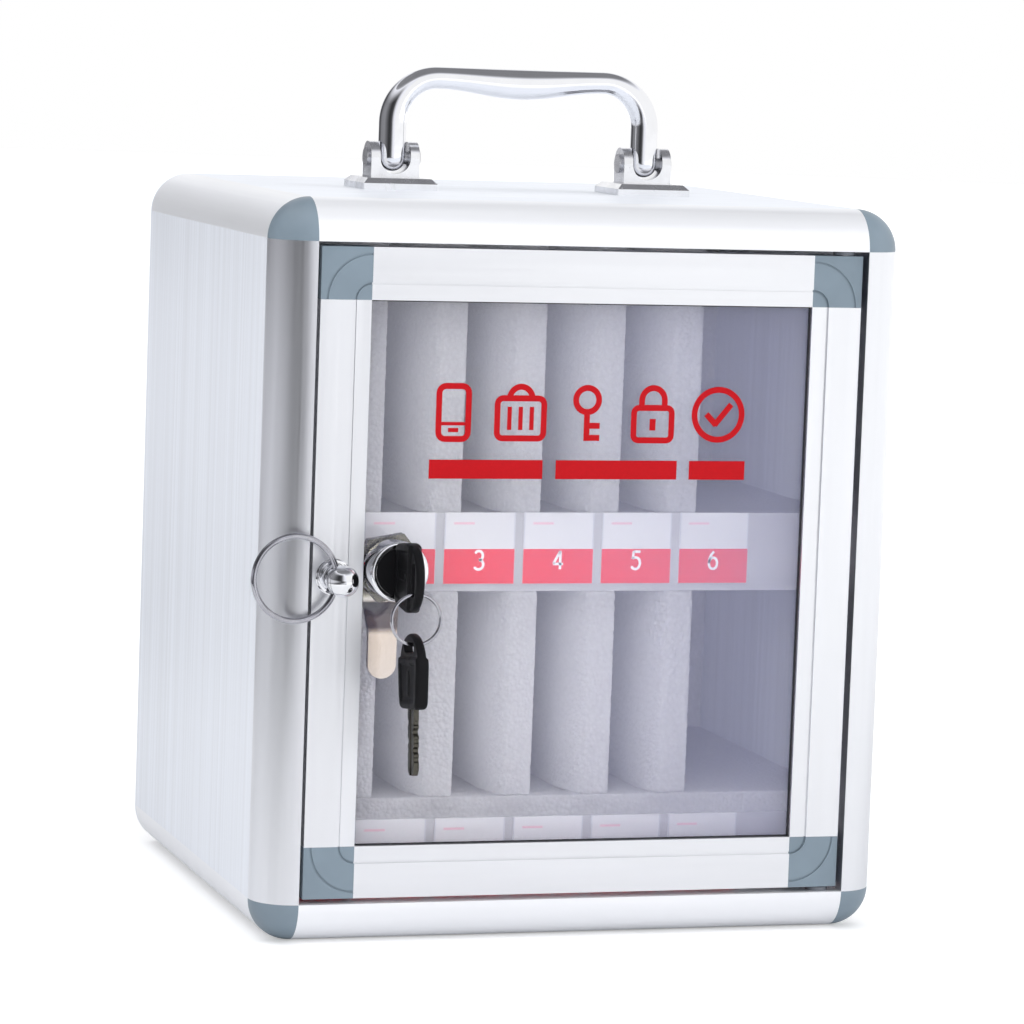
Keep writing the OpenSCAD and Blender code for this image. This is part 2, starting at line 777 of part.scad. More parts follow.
module cam() {
    slope_end = cam_bend + cam_slope_l;
    color(zinc_yellow) translate([lock_x, 0, lock_z]) difference() {
        intersection() {
            rotate([90, 0, 90]) linear_extrude(cam_w + 2, center = true) polygon([
                [lock_back, cam_w], [lock_back, -cam_bend], [tongue_y, -slope_end],
                [tongue_y, -cam_reach - 1], [tongue_y + cam_t, -cam_reach - 1],
                [tongue_y + cam_t, -slope_end], [lock_back + cam_t, -cam_bend],
                [lock_back + cam_t, cam_w]]);
            translate([0, lock_back + cam_w, 0]) rotate([90, 0, 0]) linear_extrude(2*cam_w) {
                circle(d = cam_w);
                polygon([[cam_w/2, 0], [-cam_w/2, 0], [-cam_w/2, -cam_bend],
                         [-cam_tongue_w/2, -slope_end],
                         [-cam_tongue_w/2, -cam_reach + cam_tongue_w/2],
                         [cam_tongue_w/2, -cam_reach + cam_tongue_w/2],
                         [cam_tongue_w/2, -slope_end], [cam_w/2, -cam_bend]]);
                translate([0, -cam_reach + cam_tongue_w/2]) circle(d = cam_tongue_w);
            }
        }
        block([-tail_w/2 - seat_fit, lock_back - 1, -tail_w/2 - seat_fit],
              [tail_w/2 + seat_fit, lock_back + cam_t + 1, tail_w/2 + seat_fit]);
    }
}

module cam_screw() {
    color(steel) translate([lock_x, 0, lock_z]) {
        rod_y(cam_screw_r, tail_end - 2*cam_t + 0.4, lock_back + cam_t + 1);
        rod_y(cam_screw_head_r, lock_back + cam_t, lock_back + cam_t + cam_screw_head_h);
    }
}

// Key drawn with its shoulder at the origin, its head up along Z and its width along Y
module head_outline() {
    translate([head_round_at, 0]) circle(r = head_round_r, $fn = 96);
    polygon([[0, key_shoulder_w/2], [0, -key_shoulder_w/2],
             [head_round_at, -head_round_r], [head_round_at, head_round_r]]);
}

module slot_outline() {
    run = (key_slot_l - key_slot_w)/2;
    translate([slot_at, 0]) {
        square([key_slot_w, 2*run], center = true);
        for (side = [-1, 1]) translate([0, side*run]) circle(d = key_slot_w, $fn = 32);
    }
}

module key_head() {
    rotate([0, -90, 0]) difference() {
        linear_extrude(key_head_t, center = true) head_outline();
        linear_extrude(key_head_t + 2, center = true) slot_outline();
        for (side = [-1, 1])
            translate([key_head_l - key_eye_l, -key_head_w, side*(key_eye_t + key_head_t)/2])
                translate([0, 0, -key_head_t/2]) cube([key_eye_l + 1, 2*key_head_w, key_head_t]);
        translate([-1, -blade_w/2 - seat_fit, -blade_t/2 - seat_fit])
            cube([1 + head_round_at/2, blade_w + 2*seat_fit, blade_t + 2*seat_fit]);
    }
}

module key_blade() {
    tip = blade_w/4;
    rotate([90, 0, 90]) linear_extrude(blade_t, center = true) polygon([
        [blade_w/2, head_round_at/2 - 0.2], [-blade_w/2, head_round_at/2 - 0.2],
        [-blade_w/2, tip - blade_l], [-tip, -blade_l], [tip, -blade_l],
        [blade_w/2, tip - blade_l]]);
}

// Key 1 stands in the lock: its head points forward
module at_key_1() {
    translate([lock_x, key_shoulder_y, lock_z]) rotate([90, 0, 0]) children();
}

// Key 2 hangs from the ring: its slot's front part lies on the wire, so it leans forward
module at_key_2() {
    translate([lock_x, slot_y, hang_z]) rotate([-key_lean, 0, 0])
        translate([0, lean_shift, hang_top - key_slot_w/2 - slot_at]) children();
}

module key_ring() {
    color(chrome) translate([lock_x, slot_y, ring_z]) wire_ring(ring_axis_r, key_ring_wire);
}

// Carrying handle
module at_foot_screws() {
    for (side = [-1, 1], off = [-1, 1])
        translate([side*bail_x, off*foot_screw_off, case_h]) children();
}

module handle_bracket(side) {
    color(chrome) difference() {
        translate([side*bail_x, 0, case_h]) {
            hull() {
                block([-foot_w/2, -foot_d/2, 0], [foot_w/2, foot_d/2, foot_h - foot_chamfer]);
                block([foot_chamfer - foot_w/2, foot_chamfer - foot_d/2, 0],
                      [foot_w/2 - foot_chamfer, foot_d/2 - foot_chamfer, foot_h]);
            }
            difference() {
                union() {
                    block([-ear_out, -ear_r, foot_h - 1], [ear_out, ear_r, pivot_rise]);
                    translate([0, 0, pivot_rise]) rod_x(ear_r, 2*ear_out);
                }
                translate([0, 0, pivot_rise]) {
                    rod_y(ear_gap/2, -ear_r - 1, ear_r + 1);
                    block([-ear_gap/2, -ear_r - 1, 0], [ear_gap/2, ear_r + 1, ear_r + 1]);
                    rod_x(bail_pin_r + seat_fit, 2*ear_out + 2);
                }
            }
        }
        at_foot_screws() translate([0, 0, -1])
            cylinder(r = foot_screw_r + seat_fit, h = foot_screw_bite + 1.2);
    }
}

module handle_screws() {
    color(steel) at_foot_screws() translate([0, 0, -panel_t]) {
        translate([0, 0, -foot_screw_head_h]) cylinder(r = foot_screw_head_r, h = foot_screw_head_h);
        translate([0, 0, -eps]) cylinder(r = foot_screw_r, h = panel_t + foot_screw_bite);
    }
}

module handle_pins() {
    color(steel) for (side = [-1, 1]) translate([side*bail_x, 0, pivot_z]) {
        rod_x(bail_pin_r, 2*ear_out + eps);
        for (end = [-1, 1]) translate([end*(ear_out + rivet_t/2), 0, 0]) rod_x(rivet_r, rivet_t);
    }
}

// Half of the grip: its radius falls from the middle to its end along half a cosine
function half_grip(l, end_r, n) = [for (i = [0 : n])
    [end_r + (grip_r - end_r)*(1 + cos(180*i/n))/2, l*i/n]];

// The grip's halves rise outwards by the change in radius, which keeps the grip's top level
module bail_half() {
    end_r = bend_r - 0.06;
    swell = grip_r - end_r;
    half_l = bail_x - bend_axis_r;
    leg_l = grip_rise - bend_axis_r;
    join = 0.8;
    translate([bail_x, 0, 0]) {
        sphere(r = leg_r);
        cylinder(r1 = leg_r, r2 = bend_r, h = leg_l);
        translate([-bend_axis_r, 0, leg_l]) rotate([90, 0, 0])
            rotate_extrude(angle = 90) translate([bend_axis_r, 0]) circle(r = bend_r);
    }
    translate([0, 0, grip_rise - swell]) intersection() {
        rotate([0, 90 - atan(swell/half_l), 0]) rotate_extrude() polygon(concat(
            [[0, -join], [grip_r, -join]], half_grip(half_l, end_r, 8),
            [[end_r, half_l + join], [0, half_l + join]]));
        block([0, -2*grip_r, -2*grip_r], [bail_x, 2*grip_r, 2*grip_r]);
    }
}

module bail() {
    $fn = 44;
    color(chrome) translate([0, 0, pivot_z]) difference() {
        union() for (side = [-1, 1]) to_side(side) bail_half();
        rod_x(bail_pin_r + run_fit, bail_span + 4*leg_r);
    }
}

front_post(-1);  // front_post_left
front_post(1);  // front_post_right
front_rail(1);  // front_rail_top
front_rail(-1);  // front_rail_bottom
depth_rail(-1, 1);  // depth_rail_top_left
depth_rail(1, 1);  // depth_rail_top_right
depth_rail(-1, -1);  // depth_rail_bottom_left
depth_rail(1, -1);  // depth_rail_bottom_right
corner_block(-1, 1);  // corner_block_top_left
corner_block(1, 1);  // corner_block_top_right
corner_block(-1, -1);  // corner_block_bottom_left
corner_block(1, -1);  // corner_block_bottom_right
side_panel(-1);  // side_panel_left
side_panel(1);  // side_panel_right
top_panel();
bottom_panel();
back_panel();
back_screws();
foam_base_lower();
foam_ribs(lower_floor, shelf_z);  // foam_ribs_lower
shelf();
foam_base_upper();
foam_ribs(upper_floor, foam_top);  // foam_ribs_upper
label_strip(strip_foot, lower_strip_h);  // label_strip_lower
label_strip(upper_foot, upper_strip_h);  // label_strip_upper
label_cards();
hinge_bushes();
hinge_pins();
door_stile(-1);  // door_stile_left
door_stile(1);  // door_stile_right
door_rail(1);  // door_rail_top
door_rail(-1);  // door_rail_bottom
door_corner(-1, 1);  // door_corner_top_left
door_corner(1, 1);  // door_corner_top_right
door_corner(-1, -1);  // door_corner_bottom_left
door_corner(1, -1);  // door_corner_bottom_right
pane();
gasket();
knob();
knob_screw();
pull_ring();
lock_body();
lock_nut();
lock_plug();
lock_face();
cam();
cam_screw();
color(black) at_key_1() key_head();  // key_head_1
color(steel) at_key_1() key_blade();  // key_blade_1
key_ring();
color(black) at_key_2() key_head();  // key_head_2
color(steel) at_key_2() key_blade();  // key_blade_2
handle_bracket(-1);  // handle_bracket_left
handle_bracket(1);  // handle_bracket_right
handle_screws();
handle_pins();
bail();
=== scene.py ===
"""Looks of the cell phone locker box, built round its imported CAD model.

Shapes are written in millimetres and put into their meshes in metres.
"""
import math

import bmesh
import bpy
import numpy as np
from mathutils import Matrix, Vector


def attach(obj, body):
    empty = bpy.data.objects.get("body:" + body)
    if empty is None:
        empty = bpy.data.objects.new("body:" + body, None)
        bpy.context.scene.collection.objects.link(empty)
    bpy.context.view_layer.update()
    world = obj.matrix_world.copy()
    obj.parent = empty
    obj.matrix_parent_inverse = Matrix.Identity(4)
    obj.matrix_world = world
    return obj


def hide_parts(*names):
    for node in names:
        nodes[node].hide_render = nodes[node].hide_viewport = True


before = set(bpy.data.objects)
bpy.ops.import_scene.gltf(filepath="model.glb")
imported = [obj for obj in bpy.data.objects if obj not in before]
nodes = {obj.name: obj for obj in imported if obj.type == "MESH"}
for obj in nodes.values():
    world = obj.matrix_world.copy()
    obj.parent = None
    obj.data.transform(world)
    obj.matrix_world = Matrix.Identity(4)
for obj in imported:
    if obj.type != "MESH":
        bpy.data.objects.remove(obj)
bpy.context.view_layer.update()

TAU = 2 * math.pi
MM = 0.001


def put_object(name, data):
    """Object with that data in the scene."""
    made = bpy.data.objects.new(name, data)
    bpy.context.scene.collection.objects.link(made)
    return made


# Camera: angles in degrees, its place in metres

CAMERA_TURN = 17.43
CAMERA_TIP = 6.33
CAMERA_ROLL = 2.07
CAMERA_AT = (-0.526, -1.684, 0.348)
SENSOR_W = 36.0
LENS = 155.1


def stand_camera():
    """Camera at the photograph's viewing angle: turned to the right, tipped down, rolled a little."""
    turn, tip, roll = (math.radians(angle) for angle in (CAMERA_TURN, CAMERA_TIP, CAMERA_ROLL))
    level_share = math.cos(tip)
    view = np.array([math.sin(turn) * level_share, math.cos(turn) * level_share, -math.sin(tip)])
    level = np.array([math.cos(turn), -math.sin(turn), 0.0])
    rise = np.cross(level, view)
    right = math.cos(roll) * level + math.sin(roll) * rise
    up = -math.sin(roll) * level + math.cos(roll) * rise
    data = bpy.data.cameras.new("camera")
    data.sensor_width = SENSOR_W
    data.lens = LENS
    camera = put_object("camera", data)
    placed = Matrix((right, up, -view)).transposed().to_4x4()
    placed.translation = CAMERA_AT
    camera.matrix_world = placed
    bpy.context.scene.camera = camera


# Meshes from arrays

def put_mesh(name, points, faces, crease):
    """Object from points in millimetres and faces; doubles are merged and faces turned outwards.
    Edges that bend by more than crease degrees stay sharp."""
    mesh = bpy.data.meshes.new(name)
    mesh.from_pydata((np.asarray(points) * MM).tolist(), [], faces)
    form = bmesh.new()
    form.from_mesh(mesh)
    bmesh.ops.remove_doubles(form, verts=form.verts, dist=1e-7)
    bmesh.ops.recalc_face_normals(form, faces=form.faces)
    form.to_mesh(mesh)
    form.free()
    mesh.shade_smooth()
    mesh.set_sharp_from_angle(angle=math.radians(crease))
    return put_object(name, mesh)


class Shells:
    """Collects surfaces, each a grid of rings[row, column], for one piece."""

    def __init__(self):
        self.points, self.faces, self.count = [], [], 0

    def lay(self, rings, rows_join, columns_join):
        """Quads between neighbouring rows and columns, and from the last to the first where joined."""
        rows, cols = rings.shape[:2]
        row = np.arange(rows if rows_join else rows - 1)[:, None]
        col = np.arange(cols if columns_join else cols - 1)[None, :]
        up, over = (row + 1) % rows, (col + 1) % cols
        quads = np.stack([row * cols + col, row * cols + over, up * cols + over, up * cols + col], -1)
        self.faces += (quads.reshape(-1, 4) + self.count).tolist()
        self.points.append(rings.reshape(-1, 3))
        self.count += rows * cols

    def add(self, rings, looped=False):
        """Closed shell: its two ends are flat faces, or its last row joins the first where looped."""
        start, cols = self.count, rings.shape[1]
        self.lay(rings, looped, True)
        if not looped:
            self.faces.append((np.arange(cols)[::-1] + start).tolist())
            self.faces.append((np.arange(cols) + self.count - cols).tolist())

    def skin(self, rings):
        """Open skin with nothing across its ends."""
        self.lay(rings, False, False)

    def piece(self, name, crease=38):
        return put_mesh(name, np.concatenate(self.points), self.faces, crease)


def spread(start, end, step):
    """Even numbers from start to end, about step apart."""
    return np.linspace(start, end, max(2, int(round(abs(end - start) / step)) + 1))


def arc(cx, cy, rx, ry, start, end, count=24):
    """Points on an ellipse between two angles in degrees."""
    a = np.radians(np.linspace(start, end, count))
    return np.stack([cx + rx * np.cos(a), cy + ry * np.sin(a)], -1)


def ease(t):
    """Smooth step from 0 to 1: t squared times three minus two t."""
    t = np.clip(t, 0.0, 1.0)
    return t * t * (3 - 2 * t)


# Foam: ribs and floors as upright blocks whose rings follow a rounded outline

INNER_X = 120.0
FOAM_FRONT = -65.0
FOAM_REAR = 105.0
BAY_BACK = 91.0
BAYS = 6
PITCH = 32.0
LOWER_FLOOR = 48.5
SHELF_Z = 129.0
UPPER_FOOT = 132.0
UPPER_FLOOR = 159.0
FOAM_TOP = 264.0
FOOT_BOX = ((-109.2, FOAM_FRONT, 4.8), (109.2, FOAM_REAR, 16.8))
FOOT_TOP = 16.0
RIB_W = 17.4
RIB_SHIFT = 0.3
RIB_ROUND = (7.5, 26.0)
RIB_EDGE = 1.4
RIB_RELIEF = 0.42
SLAB_ROUND = 0.9
SLAB_RELIEF = 0.3
BACK_ROUND = 0.8
BACK_EDGE = 1.2
FOOT_RELIEF = 0.2
# Least depth behind a front that has close points, and how far it reaches past the round corner
CLOSE_RUN = 14.0
CLOSE_PAST = 2.0

# Beads: their pitch, the depth behind a front with full relief, the run over which it then falls off
# and the share that is left at the back
BEAD_PITCH = 2.3
RELIEF_FULL = 3.0
RELIEF_RUN = 12.0
RELIEF_LEFT = 0.12
LATTICE = 61


def bead_relief(s, z, pitch, seed):
    """Depth between 0 and 1 under the crowns of the foam's beads: one bead sits at a random spot of
    each cell of a square lattice, and the depth grows with the square of the distance to the nearest."""
    rng = np.random.default_rng(seed)
    jitter = rng.random((LATTICE, LATTICE, 2))
    u, v = s / pitch, z / pitch
    near = np.full(np.broadcast(u, v).shape, 9.0)
    for du in (-1, 0, 1):
        for dv in (-1, 0, 1):
            cu, cv = np.floor(u) + du, np.floor(v) + dv
            spot = jitter[cu.astype(int) % LATTICE, cv.astype(int) % LATTICE]
            away = (u - cu - spot[..., 0]) ** 2 + (v - cv - spot[..., 1]) ** 2
            near = np.minimum(near, away)
    return np.clip(near, 0.0, 1.0)


def block_outline(x0, x1, y0, y1, left, right_r, fine, coarse):
    """Outline of a block from above and its normals: down the left side, round the left front corner
    on a quarter ellipse with half axes left, along the front, round the right corner on a quarter
    circle and up the right side, with close points near the front."""
    near = min(max(CLOSE_RUN, left[1] + CLOSE_PAST), (y1 - y0) / 2)
    far = np.arange(y1, y0 + near, -coarse)
    side_l = np.concatenate([far, spread(y0 + near, y0 + left[1], fine)])
    side_r = np.concatenate([spread(y0 + right_r, y0 + near, fine)[:-1], far[::-1]])
    front = spread(x0 + left[0], x1 - right_r, fine)[1:-1]
    turn_l = np.radians(spread(180, 270, 90 / max(3, round(max(left) / fine))))[1:-1]
    turn_r = np.radians(spread(270, 360, 90 / max(3, round(right_r / fine * 1.6))))[1:-1]
    points = np.concatenate([
        np.stack([np.full(side_l.size, x0), side_l], -1),
        np.stack([x0 + left[0] * (1 + np.cos(turn_l)), y0 + left[1] * (1 + np.sin(turn_l))], -1),
        np.stack([front, np.full(front.size, y0)], -1),
        np.stack([x1 - right_r + right_r * np.cos(turn_r),
                  y0 + right_r + right_r * np.sin(turn_r)], -1),
        np.stack([np.full(side_r.size, x1), side_r], -1)])
    flare = np.stack([np.cos(turn_l) / left[0], np.sin(turn_l) / left[1]], -1)
    normals = np.concatenate([
        np.tile([-1.0, 0.0], (side_l.size, 1)),
        flare / np.linalg.norm(flare, axis=1)[:, None],
        np.tile([0.0, -1.0], (front.size, 1)),
        np.stack([np.cos(turn_r), np.sin(turn_r)], -1),
        np.tile([1.0, 0.0], (side_r.size, 1))])
    return points, normals


def foam_block(shells, lo, hi, left, right_r, edge_r, relief, seed, fine=1.1, coarse=9.0):
    """Upright block of foam: its outline is repeated at heights from bottom to top, drawn in over
    the rounded top and bottom edges, and sunk a little between the beads of its front."""
    points, normals = block_outline(lo[0], hi[0], lo[1], hi[1], left, right_r, fine, coarse)
    bend = edge_r * (1 - np.cos(np.radians(spread(0, 90, 22.5))))
    z = np.concatenate([lo[2] + bend, spread(lo[2] + edge_r, hi[2] - edge_r, fine)[1:-1],
                        hi[2] - bend[::-1]])
    end = np.minimum(z - lo[2], hi[2] - z)
    rim = edge_r - np.sqrt(np.clip(edge_r ** 2 - np.clip(edge_r - end, 0, None) ** 2, 0, None))
    along = np.concatenate([[0.0], np.cumsum(np.linalg.norm(np.diff(points, axis=0), axis=1))])
    fade = np.clip(1 - (points[:, 1] - lo[1] - RELIEF_FULL) / RELIEF_RUN, RELIEF_LEFT, 1.0)
    beads = bead_relief(along[None, :], z[:, None], BEAD_PITCH, seed)
    sink = relief * fade[None, :] * beads
    flat = points[None] - normals[None] * (rim[:, None] + sink)[..., None]
    level = np.broadcast_to(z[:, None, None], flat.shape[:2] + (1,))
    shells.add(np.concatenate([flat, level], -1))


def foam_piece(shells, name, node):
    """Soft piece in place of a node of the casing."""
    piece = shells.piece(name, crease=60)
    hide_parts(node)
    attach(piece, "casing")
    return piece


def foam_ribs(name, node, z0, z1, seed):
    """Six ribs between the bays, round on the left of their fronts and crisp on the right."""
    shells = Shells()
    for k in range(BAYS):
        x1 = -INNER_X + RIB_W + RIB_SHIFT + PITCH * k
        x0 = x1 - RIB_W if k else -INNER_X
        foam_block(shells, (x0, FOAM_FRONT, z0), (x1, BAY_BACK, z1), RIB_ROUND, SLAB_ROUND, RIB_EDGE,
                   RIB_RELIEF, seed + k)
    return foam_piece(shells, name, node)


def foam_floor(name, node, z0, z1, top, seed, foot=None):
    """Floor slab under the bays, the slab that stands behind them and, where given, a foot."""
    shells = Shells()
    foam_block(shells, (-INNER_X, FOAM_FRONT, z0), (INNER_X, FOAM_REAR, z1), (SLAB_ROUND, SLAB_ROUND),
               SLAB_ROUND, SLAB_ROUND, SLAB_RELIEF, seed, fine=2.2, coarse=8.5)
    foam_block(shells, (-INNER_X, BAY_BACK, z1 - 1), (INNER_X, FOAM_REAR, top), (BACK_ROUND, BACK_ROUND),
               BACK_ROUND, BACK_EDGE, SLAB_RELIEF, seed + 1, fine=2.2, coarse=3.5)
    if foot:
        foam_block(shells, foot[0], foot[1], (BACK_ROUND, BACK_ROUND), BACK_ROUND, BACK_ROUND,
                   FOOT_RELIEF, seed + 2, fine=2.4, coarse=8.5)
    return foam_piece(shells, name, node)


# Handle: one bar bent twice, with a waist at each bend and a thick middle

PIVOT_Z = 293.2
BAIL_X = 52.5
BEND_R = 18.0
BAIL_TOP = 329.45
LEG_R = 5.5
WAIST_R = 4.3
GRIP_R = 6.0
LEG_ROWS = 9
BEND_ROWS = 24
GRIP_ROWS = 40
BAIL_SIDES = 48


def wave(start, end, t):
    """From start to end along half a cosine, as t goes from 0 to 1."""
    return start + (end - start) * (1 - np.cos(np.pi * t)) / 2


def bail_path():
    """Centre line and radius of the bail from the left leg's end to the right one's. The radius falls
    round the bend to a waist, and rises from there to the middle, each along half a cosine. The
    grip's centre line lies its own radius under one level line."""
    bend_z = BAIL_TOP - PIVOT_Z - WAIST_R - BEND_R
    low = np.radians(spread(-90, 0, 9))[:-1]
    end = np.stack([np.full(low.size, -BAIL_X), LEG_R * np.sin(low)], -1)
    leg = np.stack([np.full(LEG_ROWS, -BAIL_X), np.linspace(0, bend_z, LEG_ROWS)], -1)
    bent = np.linspace(0, 1, BEND_ROWS + 1)[1:]
    turn = np.radians(180 - 90 * bent)
    bend = np.stack([-BAIL_X + BEND_R + BEND_R * np.cos(turn), bend_z + BEND_R * np.sin(turn)], -1)
    t = np.linspace(0, 1, GRIP_ROWS + 1)[1:]
    grip_radius = wave(WAIST_R, GRIP_R, t)
    grip = np.stack([(-BAIL_X + BEND_R) * (1 - t), BAIL_TOP - PIVOT_Z - grip_radius], -1)
    radius = np.concatenate([LEG_R * np.cos(low), np.full(LEG_ROWS, LEG_R),
                             wave(LEG_R, WAIST_R, bent), grip_radius])
    half = np.concatenate([end, leg, bend, grip])
    path = np.concatenate([half, (half * [-1, 1])[::-1][1:]])
    return path, np.concatenate([radius, radius[::-1][1:]])


def make_bail():
    """Circles square to the centre line, closed at both ends by the legs' round bottoms."""
    path, radius = bail_path()
    along = np.gradient(path, axis=0)
    along /= np.linalg.norm(along, axis=1)[:, None]
    side = np.stack([-along[:, 1], along[:, 0]], -1)
    a = np.linspace(0, TAU, BAIL_SIDES, endpoint=False)
    out = radius[:, None] * np.cos(a)[None, :]
    rings = np.stack([path[:, 0, None] + side[:, 0, None] * out,
                      radius[:, None] * np.sin(a)[None, :],
                      PIVOT_Z + path[:, 1, None] + side[:, 1, None] * out], -1)
    shells = Shells()
    shells.add(rings)
    piece = shells.piece("bail_bar", crease=60)
    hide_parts("bail")
    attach(piece, "handle")
    return piece


# Print: flat strokes on the cards and on the pane

def stroke(shells, path, width, y_back, y_front, looped=False):
    """Flat stroke in the XZ plane: four corner lines run along the path, half the width to each side
    of it, at the back and at the front."""
    path = np.asarray(path, float)
    if looped:
        along = np.roll(path, -1, 0) - np.roll(path, 1, 0)
    else:
        along = np.gradient(path, axis=0)
    along /= np.linalg.norm(along, axis=1)[:, None]
    side = np.stack([-along[:, 1], along[:, 0]], -1) * width / 2
    left, right = path + side, path - side
    corners = ((left, y_back), (right, y_back), (right, y_front), (left, y_front))
    shells.add(np.stack([np.insert(edge, 1, y, axis=1) for edge, y in corners], 1), looped)


def line(x0, z0, x1, z1):
    return np.array([[x0, z0], [x1, z1]], float)


# Each digit's strokes in a cell 1 high and 0.6 wide: path, and whether it closes
DIGITS = {
    "0": [(arc(.3, .5, .27, .5, 0, 345), True)],
    "1": [(line(.36, 0, .36, 1), False), (line(.14, .8, .37, .99), False)],
    "2": [(np.concatenate([arc(.3, .7, .26, .3, 165, -35), [[.04, .03]]]), False),
          (line(0, .05, .6, .05), False)],
    "3": [(arc(.27, .74, .25, .26, 150, -85), False), (arc(.27, .27, .29, .27, 88, -150), False)],
    "4": [(line(.44, 0, .44, 1), False), (line(.42, .98, .02, .3), False),
          (line(0, .29, .62, .29), False)],
    "5": [(line(.12, .95, .56, .95), False), (line(.14, .97, .09, .55), False),
          (arc(.27, .32, .28, .32, 130, -150), False)],
    "6": [(arc(.3, .31, .26, .31, 0, 345), True), (arc(.62, .31, .58, .72, 180, 118), False)],
    "7": [(line(0, .95, .6, .95), False), (line(.57, .96, .2, 0), False)],
    "8": [(arc(.3, .75, .22, .25, 0, 345), True), (arc(.3, .27, .27, .27, 0, 345), True)],
    "9": [(arc(.3, .69, .26, .31, 0, 345), True), (arc(-.02, .69, .58, .72, 0, -62), False)],
}
DIGIT_H = 7.2
DIGIT_W = 6.6
DIGIT_STROKE = 1.0
DIGIT_PITCH = 0.82
HALF_CELL = 0.3

CARD_W = 28.6
CARD_FRONT = -66.1
CARD_X0 = -95.0
RED_H = 13.7
NUMBER_LIFT = 2.4
INK = 0.05
NUMBER_BACK = CARD_FRONT - 0.04
NUMBER_FRONT = CARD_FRONT - 0.12
SIDE_LINE_IN = 0.3
SIDE_LINE_W = 0.35
WRITING_FROM = -10.6
WRITING_TO = -2.2
WRITING_DROP = 4.2
WRITING_W = 0.9
# Foot, top and first number of each row of cards
CARD_ROWS = ((132.0, 159.8, 1), (16.0, 40.4, BAYS + 1))


def write_number(shells, text, x, z, y_back, y_front):
    """Digits side by side, centred on x and z."""
    pitch = DIGIT_W * DIGIT_PITCH
    start = x - pitch * (len(text) - 1) / 2
    for i, char in enumerate(text):
        for path, looped in DIGITS[char]:
            spot = path * [DIGIT_W, DIGIT_H] + [start + pitch * i - HALF_CELL * DIGIT_W, z - DIGIT_H / 2]
            stroke(shells, spot, DIGIT_STROKE, y_back, y_front, looped)


def make_cards():
    """Twelve cards' print: a red field with the bay's number, side lines and a faint writing line."""
    red, white, grey, pink = Shells(), Shells(), Shells(), Shells()
    ink_front = CARD_FRONT - INK
    for k in range(BAYS):
        x = CARD_X0 + PITCH * k
        for foot, top, first_number in CARD_ROWS:
            middle, half = foot + RED_H / 2, CARD_W / 2 - 0.1
            stroke(red, line(x - half, middle, x + half, middle), RED_H - 0.2, CARD_FRONT, ink_front)
            write_number(white, str(first_number + k), x, middle + NUMBER_LIFT, NUMBER_BACK, NUMBER_FRONT)
            for side in (x - CARD_W / 2 + SIDE_LINE_IN, x + CARD_W / 2 - SIDE_LINE_IN):
                stroke(grey, line(side, foot + RED_H, side, top - 0.2), SIDE_LINE_W, CARD_FRONT,
                       ink_front)
            writing = line(x + WRITING_FROM, top - WRITING_DROP, x + WRITING_TO, top - WRITING_DROP)
            stroke(pink, writing, WRITING_W, CARD_FRONT, ink_front)
    pieces = (red.piece("card_red_fields"), white.piece("card_numbers"), grey.piece("card_side_lines"),
              pink.piece("card_writing_lines"))
    for piece in pieces:
        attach(piece, "casing")
    return pieces


def frame_path(x0, z0, x1, z1, r, n=6):
    """Rounded rectangle as a closed path."""
    return np.concatenate([arc(x1 - r, z1 - r, r, r, 0, 90, n), arc(x0 + r, z1 - r, r, r, 90, 180, n),
                           arc(x0 + r, z0 + r, r, r, 180, 270, n), arc(x1 - r, z0 + r, r, r, 270, 360, n)])


PANE_FRONT = -101.7
SIGN_INK = 0.06
SIGN_X0 = -53.6
SIGN_Z = 201.6
SIGN_PITCH = 26.4
SIGN_LINE = 2.3
BAR_Z = 180.2
BAR_H = 7.2
BARS = ((-62.6, -17.8), (-12.6, 36.0), (41.0, 63.6))
# Each sign's strokes about its own centre: path, width, whether it closes, and the lift that keeps
# crossing strokes apart
SIGNS = (
    # Phone
    ((frame_path(-5.8, -10.0, 5.8, 10.0, 2.6), SIGN_LINE, True, 0.0),
     (line(-2.0, -6.6, 2.0, -6.6), 1.6, False, 0.0),
     (line(-4.7, -4.2, 4.7, -4.2), 1.3, False, 0.0)),
    # Case
    ((frame_path(-9.2, -9.6, 9.2, 5.6, 2.2), SIGN_LINE, True, 0.0),
     (arc(0, 5.0, 4.6, 5.0, 8, 172), SIGN_LINE, False, 0.01),
     (line(-4.4, -6.4, -4.4, 2.4), 1.7, False, 0.0),
     (line(0, -6.4, 0, 2.4), 1.7, False, 0.0),
     (line(4.4, -6.4, 4.4, 2.4), 1.7, False, 0.0)),
    # Key
    ((arc(0, 5.2, 4.6, 4.6, 0, 352, 40), SIGN_LINE, True, 0.0),
     (line(0, 0.8, 0, -10.4), SIGN_LINE, False, 0.01),
     (line(0.6, -4.6, 5.2, -4.6), SIGN_LINE, False, 0.0),
     (line(0.6, -9.2, 5.2, -9.2), SIGN_LINE, False, 0.0)),
    # Padlock
    ((frame_path(-7.6, -10.0, 7.6, 2.4, 2.0), SIGN_LINE, True, 0.0),
     (np.concatenate([line(-4.6, 2.6, -4.6, 4.6), arc(0, 5.2, 4.6, 4.8, 178, 2),
                      line(4.6, 4.6, 4.6, 2.6)]), SIGN_LINE, False, 0.01),
     (line(0, -1.8, 0, -6.2), 2.4, False, 0.0)),
    # Tick
    ((arc(0, 0, 9.6, 9.6, 0, 352, 48), SIGN_LINE, True, 0.0),
     (line(-4.8, 0.2, -0.7, -4.0), SIGN_LINE, False, 0.01),
     (line(-1.4, -4.0, 5.2, 4.0), SIGN_LINE, False, 0.02)),
)


